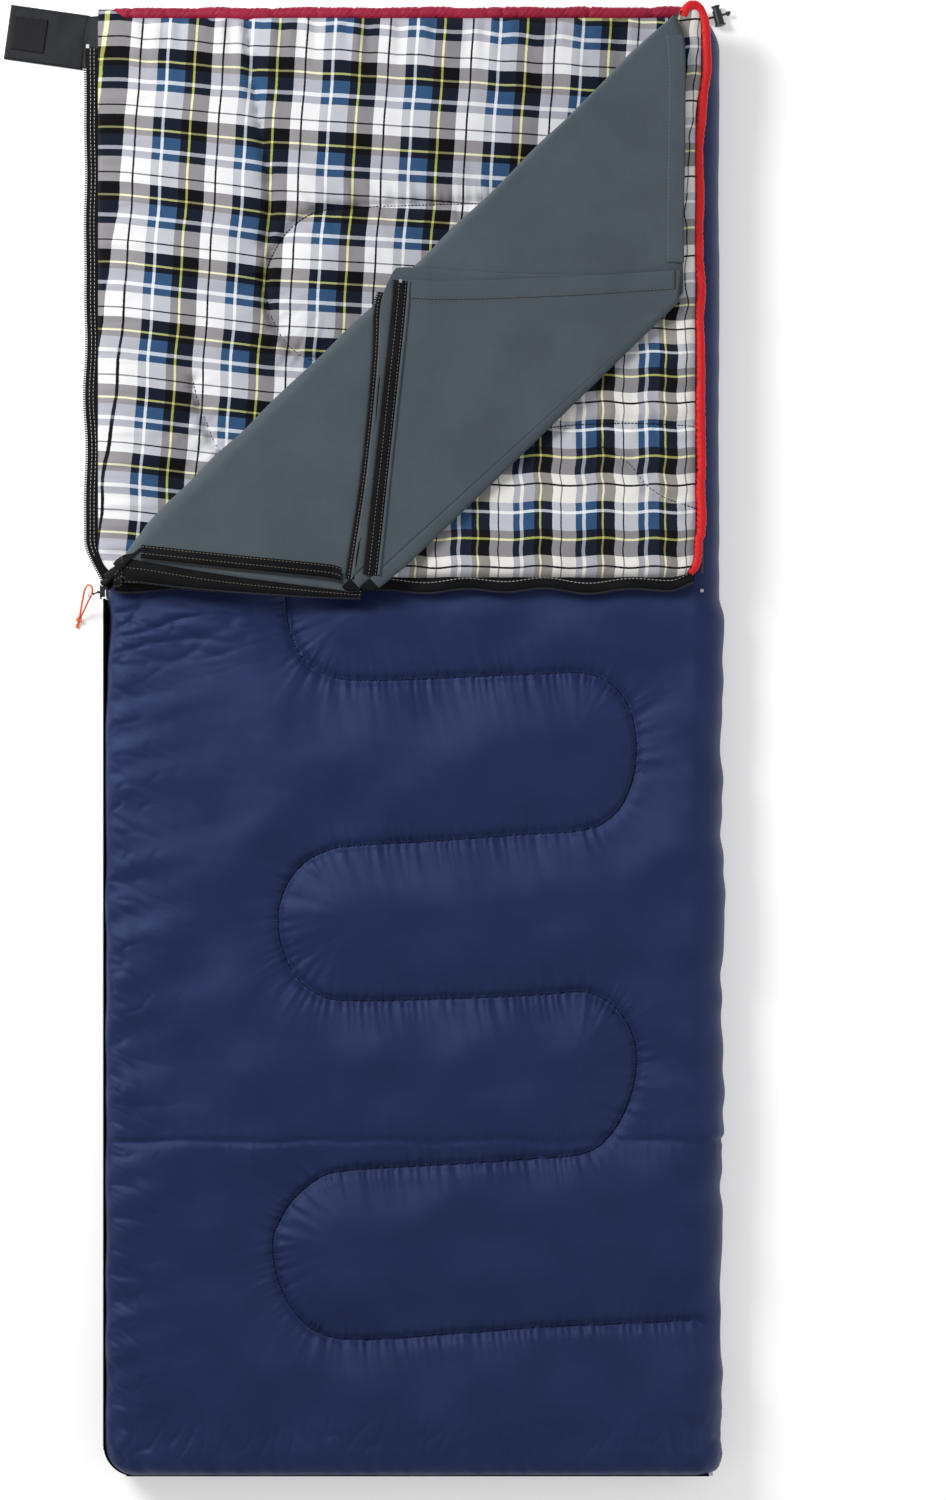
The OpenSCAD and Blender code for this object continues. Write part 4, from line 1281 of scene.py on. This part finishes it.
DRAWCORD_ROUTE = [(372, 947.5, 12), (376, 945.8, 11.7), (380, 944.2, 10.7), (384, 944, 9.7),
                  (388, 944.8, 9.1), (392, 945.9, 9), (396, 946.9, 9), (400, 948, 9),
                  (404, 949.1, 9), (408, 950.1, 9), (411, 950.9, 9)]
PULL_OUTER_ROUTE = [(-413.6, 192.6, 38.9), (-412.8, 196.4, 40.2), (-413.2, 200.4, 40.6),
                    (-415.8, 203.7, 40.2), (-419.6, 203.5, 38.2), (-422.6, 200, 35),
                    (-424.8, 194.6, 31), (-426.6, 188.2, 26.4), (-428.4, 181.6, 21.4),
                    (-430.2, 175, 16), (-431.8, 169, 11), (-433.2, 164, 7.4)]
PULL_INNER_ROUTE = [(-414.6, 192.6, 35.6), (-416, 189.6, 34.2), (-418.2, 186, 31.2),
                    (-420.6, 182, 27), (-423, 178, 22.2), (-425.6, 173.8, 17),
                    (-428.2, 169.6, 12), (-430.6, 165.8, 8.2), (-432.6, 163.2, 6.2)]


def cord_curve(name, route, diameter, material):
    curve = bpy.data.curves.new(name, "CURVE")
    curve.dimensions = "3D"
    curve.bevel_depth = diameter / 2 * MM
    curve.bevel_resolution = 4
    curve.use_fill_caps = True
    line = curve.splines.new("POLY")
    points = spline(route, 1.5)
    line.points.add(len(points) - 1)
    for point, place in zip(line.points, points):
        point.co = (*(place * MM), 1)
    curve.materials.append(MATERIALS[material])
    return add_object(name, curve)


def overhand(name, centre, size, thick, material, turn=0.0):
    """A tightened overhand knot: a trefoil of cord."""
    t = np.linspace(0, 2 * np.pi, 80)
    shape = np.stack([np.sin(t) + 2 * np.sin(2 * t), np.cos(t) - 2 * np.cos(2 * t),
                      -1.3 * np.sin(3 * t)], -1) / 3
    spin = np.array([[math.cos(turn), -math.sin(turn), 0], [math.sin(turn), math.cos(turn), 0],
                     [0, 0, 1]])
    path = np.array(centre) + shape @ spin.T * size
    return tube_mesh(name, path, thick / 2, material, sides=10)


def cords():
    tip = overhand("drawcord_knot_visual", box_middle("drawcord_knot"), 2.5, 2.3,
                   "drawcord")
    finish_piece(tip, "bag", "drawcord", "drawcord_knot")
    tail = cord_curve("drawcord_tail_visual", DRAWCORD_ROUTE, 3.0, "drawcord")
    finish_piece(tail, "bag", "drawcord", "drawcord_tail")
    knot = overhand("pull_knot_visual", (-434, 160.6, 5.6), 3.4, 2.6, "orange", 0.6)
    finish_piece(knot, "zip_pull", "pull_cord", "pull_knot")
    for k, (dx, dy) in enumerate(((-1.8, -10.6), (-4.6, -9.6))):
        path = even([(-434.4, 158, 4.6), (-434 + dx * 0.5, 158 + dy * 0.5 + 2, 2.6),
                     (-434 + dx, 160 + dy, 1.8)], 14)
        end = tube_mesh(f"pull_cord_end_{k}", path, 1.25, "orange", sides=10)
        finish_piece(end, "zip_pull", "pull_cord")
    for name, route, node, pieces in (
            ("pull_cord_outer_visual", PULL_OUTER_ROUTE, "pull_cord_outer", [knot]),
            ("pull_cord_inner_visual", PULL_INNER_ROUTE, "pull_cord_inner", [])):
        strand = cord_curve(name, route, 2.6, "orange")
        finish_piece(strand, "zip_pull", "pull_cord", node)


# ---- pieces kept from the CAD

def kept_nodes():
    kept = {"slider_body": "enamel", "pull_tab": "plastic", "pull_ring": "metal",
            "lock_body": "plastic", "lock_button": "plastic",
            "liner_slider": "enamel", "bag_zip_stops": "metal", "flap_zip_stop": "metal",
            "liner_zip_stop": "metal", "drawcord": "drawcord", "flap_drawcord": "drawcord"}
    for node, mat in kept.items():
        data = frame["nodes"][node].data
        data.materials.clear()
        data.materials.append(MATERIALS[mat])


def lock_spring():
    """The cord lock's coil spring, built at one length; the real one shortens as the button is
    pressed.
    """
    turn = math.radians(15)
    lock = np.array([400.0, 948.0, 9.0])
    across = np.array([math.cos(turn), math.sin(turn), 0])
    way = np.array([-math.sin(turn), math.cos(turn), 0])
    turns, radius, wire_r, count = 3, 3.2, 0.42, 120
    angle = np.linspace(0, 2 * turns * np.pi, count)[:, None]
    rise = np.linspace(-10, -3.9, count)[:, None] * way
    path = lock + radius * (np.cos(angle) * across + np.sin(angle) * np.array([0, 0, 1.0])) + rise
    spring = tube_mesh("lock_spring_visual", path, wire_r, "spring", sides=8, up=way)
    finish_piece(spring, "cord_lock", "spring_steel", "lock_spring")
    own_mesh(spring)


def loop_patch():
    low, high = node_box("flap_loop_patch")
    x = np.linspace(low[0], high[0], 30)[:, None]
    y = np.linspace(low[1], high[1], 30)[None]
    rim = np.minimum(np.minimum(x - low[0], high[0] - x), np.minimum(y - low[1], high[1] - y))
    half = rounded(rim, 2) * 0.7
    z = (low[2] + high[2]) / 2
    patch = pad("flap_loop_patch_visual", stack(x, y, z + half), stack(x, y, z - half),
                ["loops", "loops"])
    finish_piece(patch, "flap", "loop_patch", "flap_loop_patch")


def floor():
    s = Shader("floor", (0.93, 0.93, 0.93), 0.9, Specular_IOR_Level=0.1)
    s.bump((s.noise(30, 3), 0.02, 0.0005))
    s.bsdf.inputs["Emission Color"].default_value = (1, 1, 1, 1)
    s.bsdf.inputs["Emission Strength"].default_value = 0.30
    mesh = bpy.data.meshes.new("floor")
    half = 12.0                                 # metres
    corners = [(-half, -half, 0), (half, -half, 0), (half, half, 0), (-half, half, 0)]
    mesh.from_pydata(corners, [], [(0, 1, 2, 3)])
    mesh.materials.append(s.mat)
    add_object("floor", mesh)


make_camera()
make_materials()
cords()
floor()
make_light()
for build in (back_quilt, front_quilt, flap_quilt, fold_quilt, liner, hems, main_zip, open_zip,
              flap_zip, liner_zips, quilt_stitches, closure_tab, loop_patch, lock_spring,
              kept_nodes):
    build()
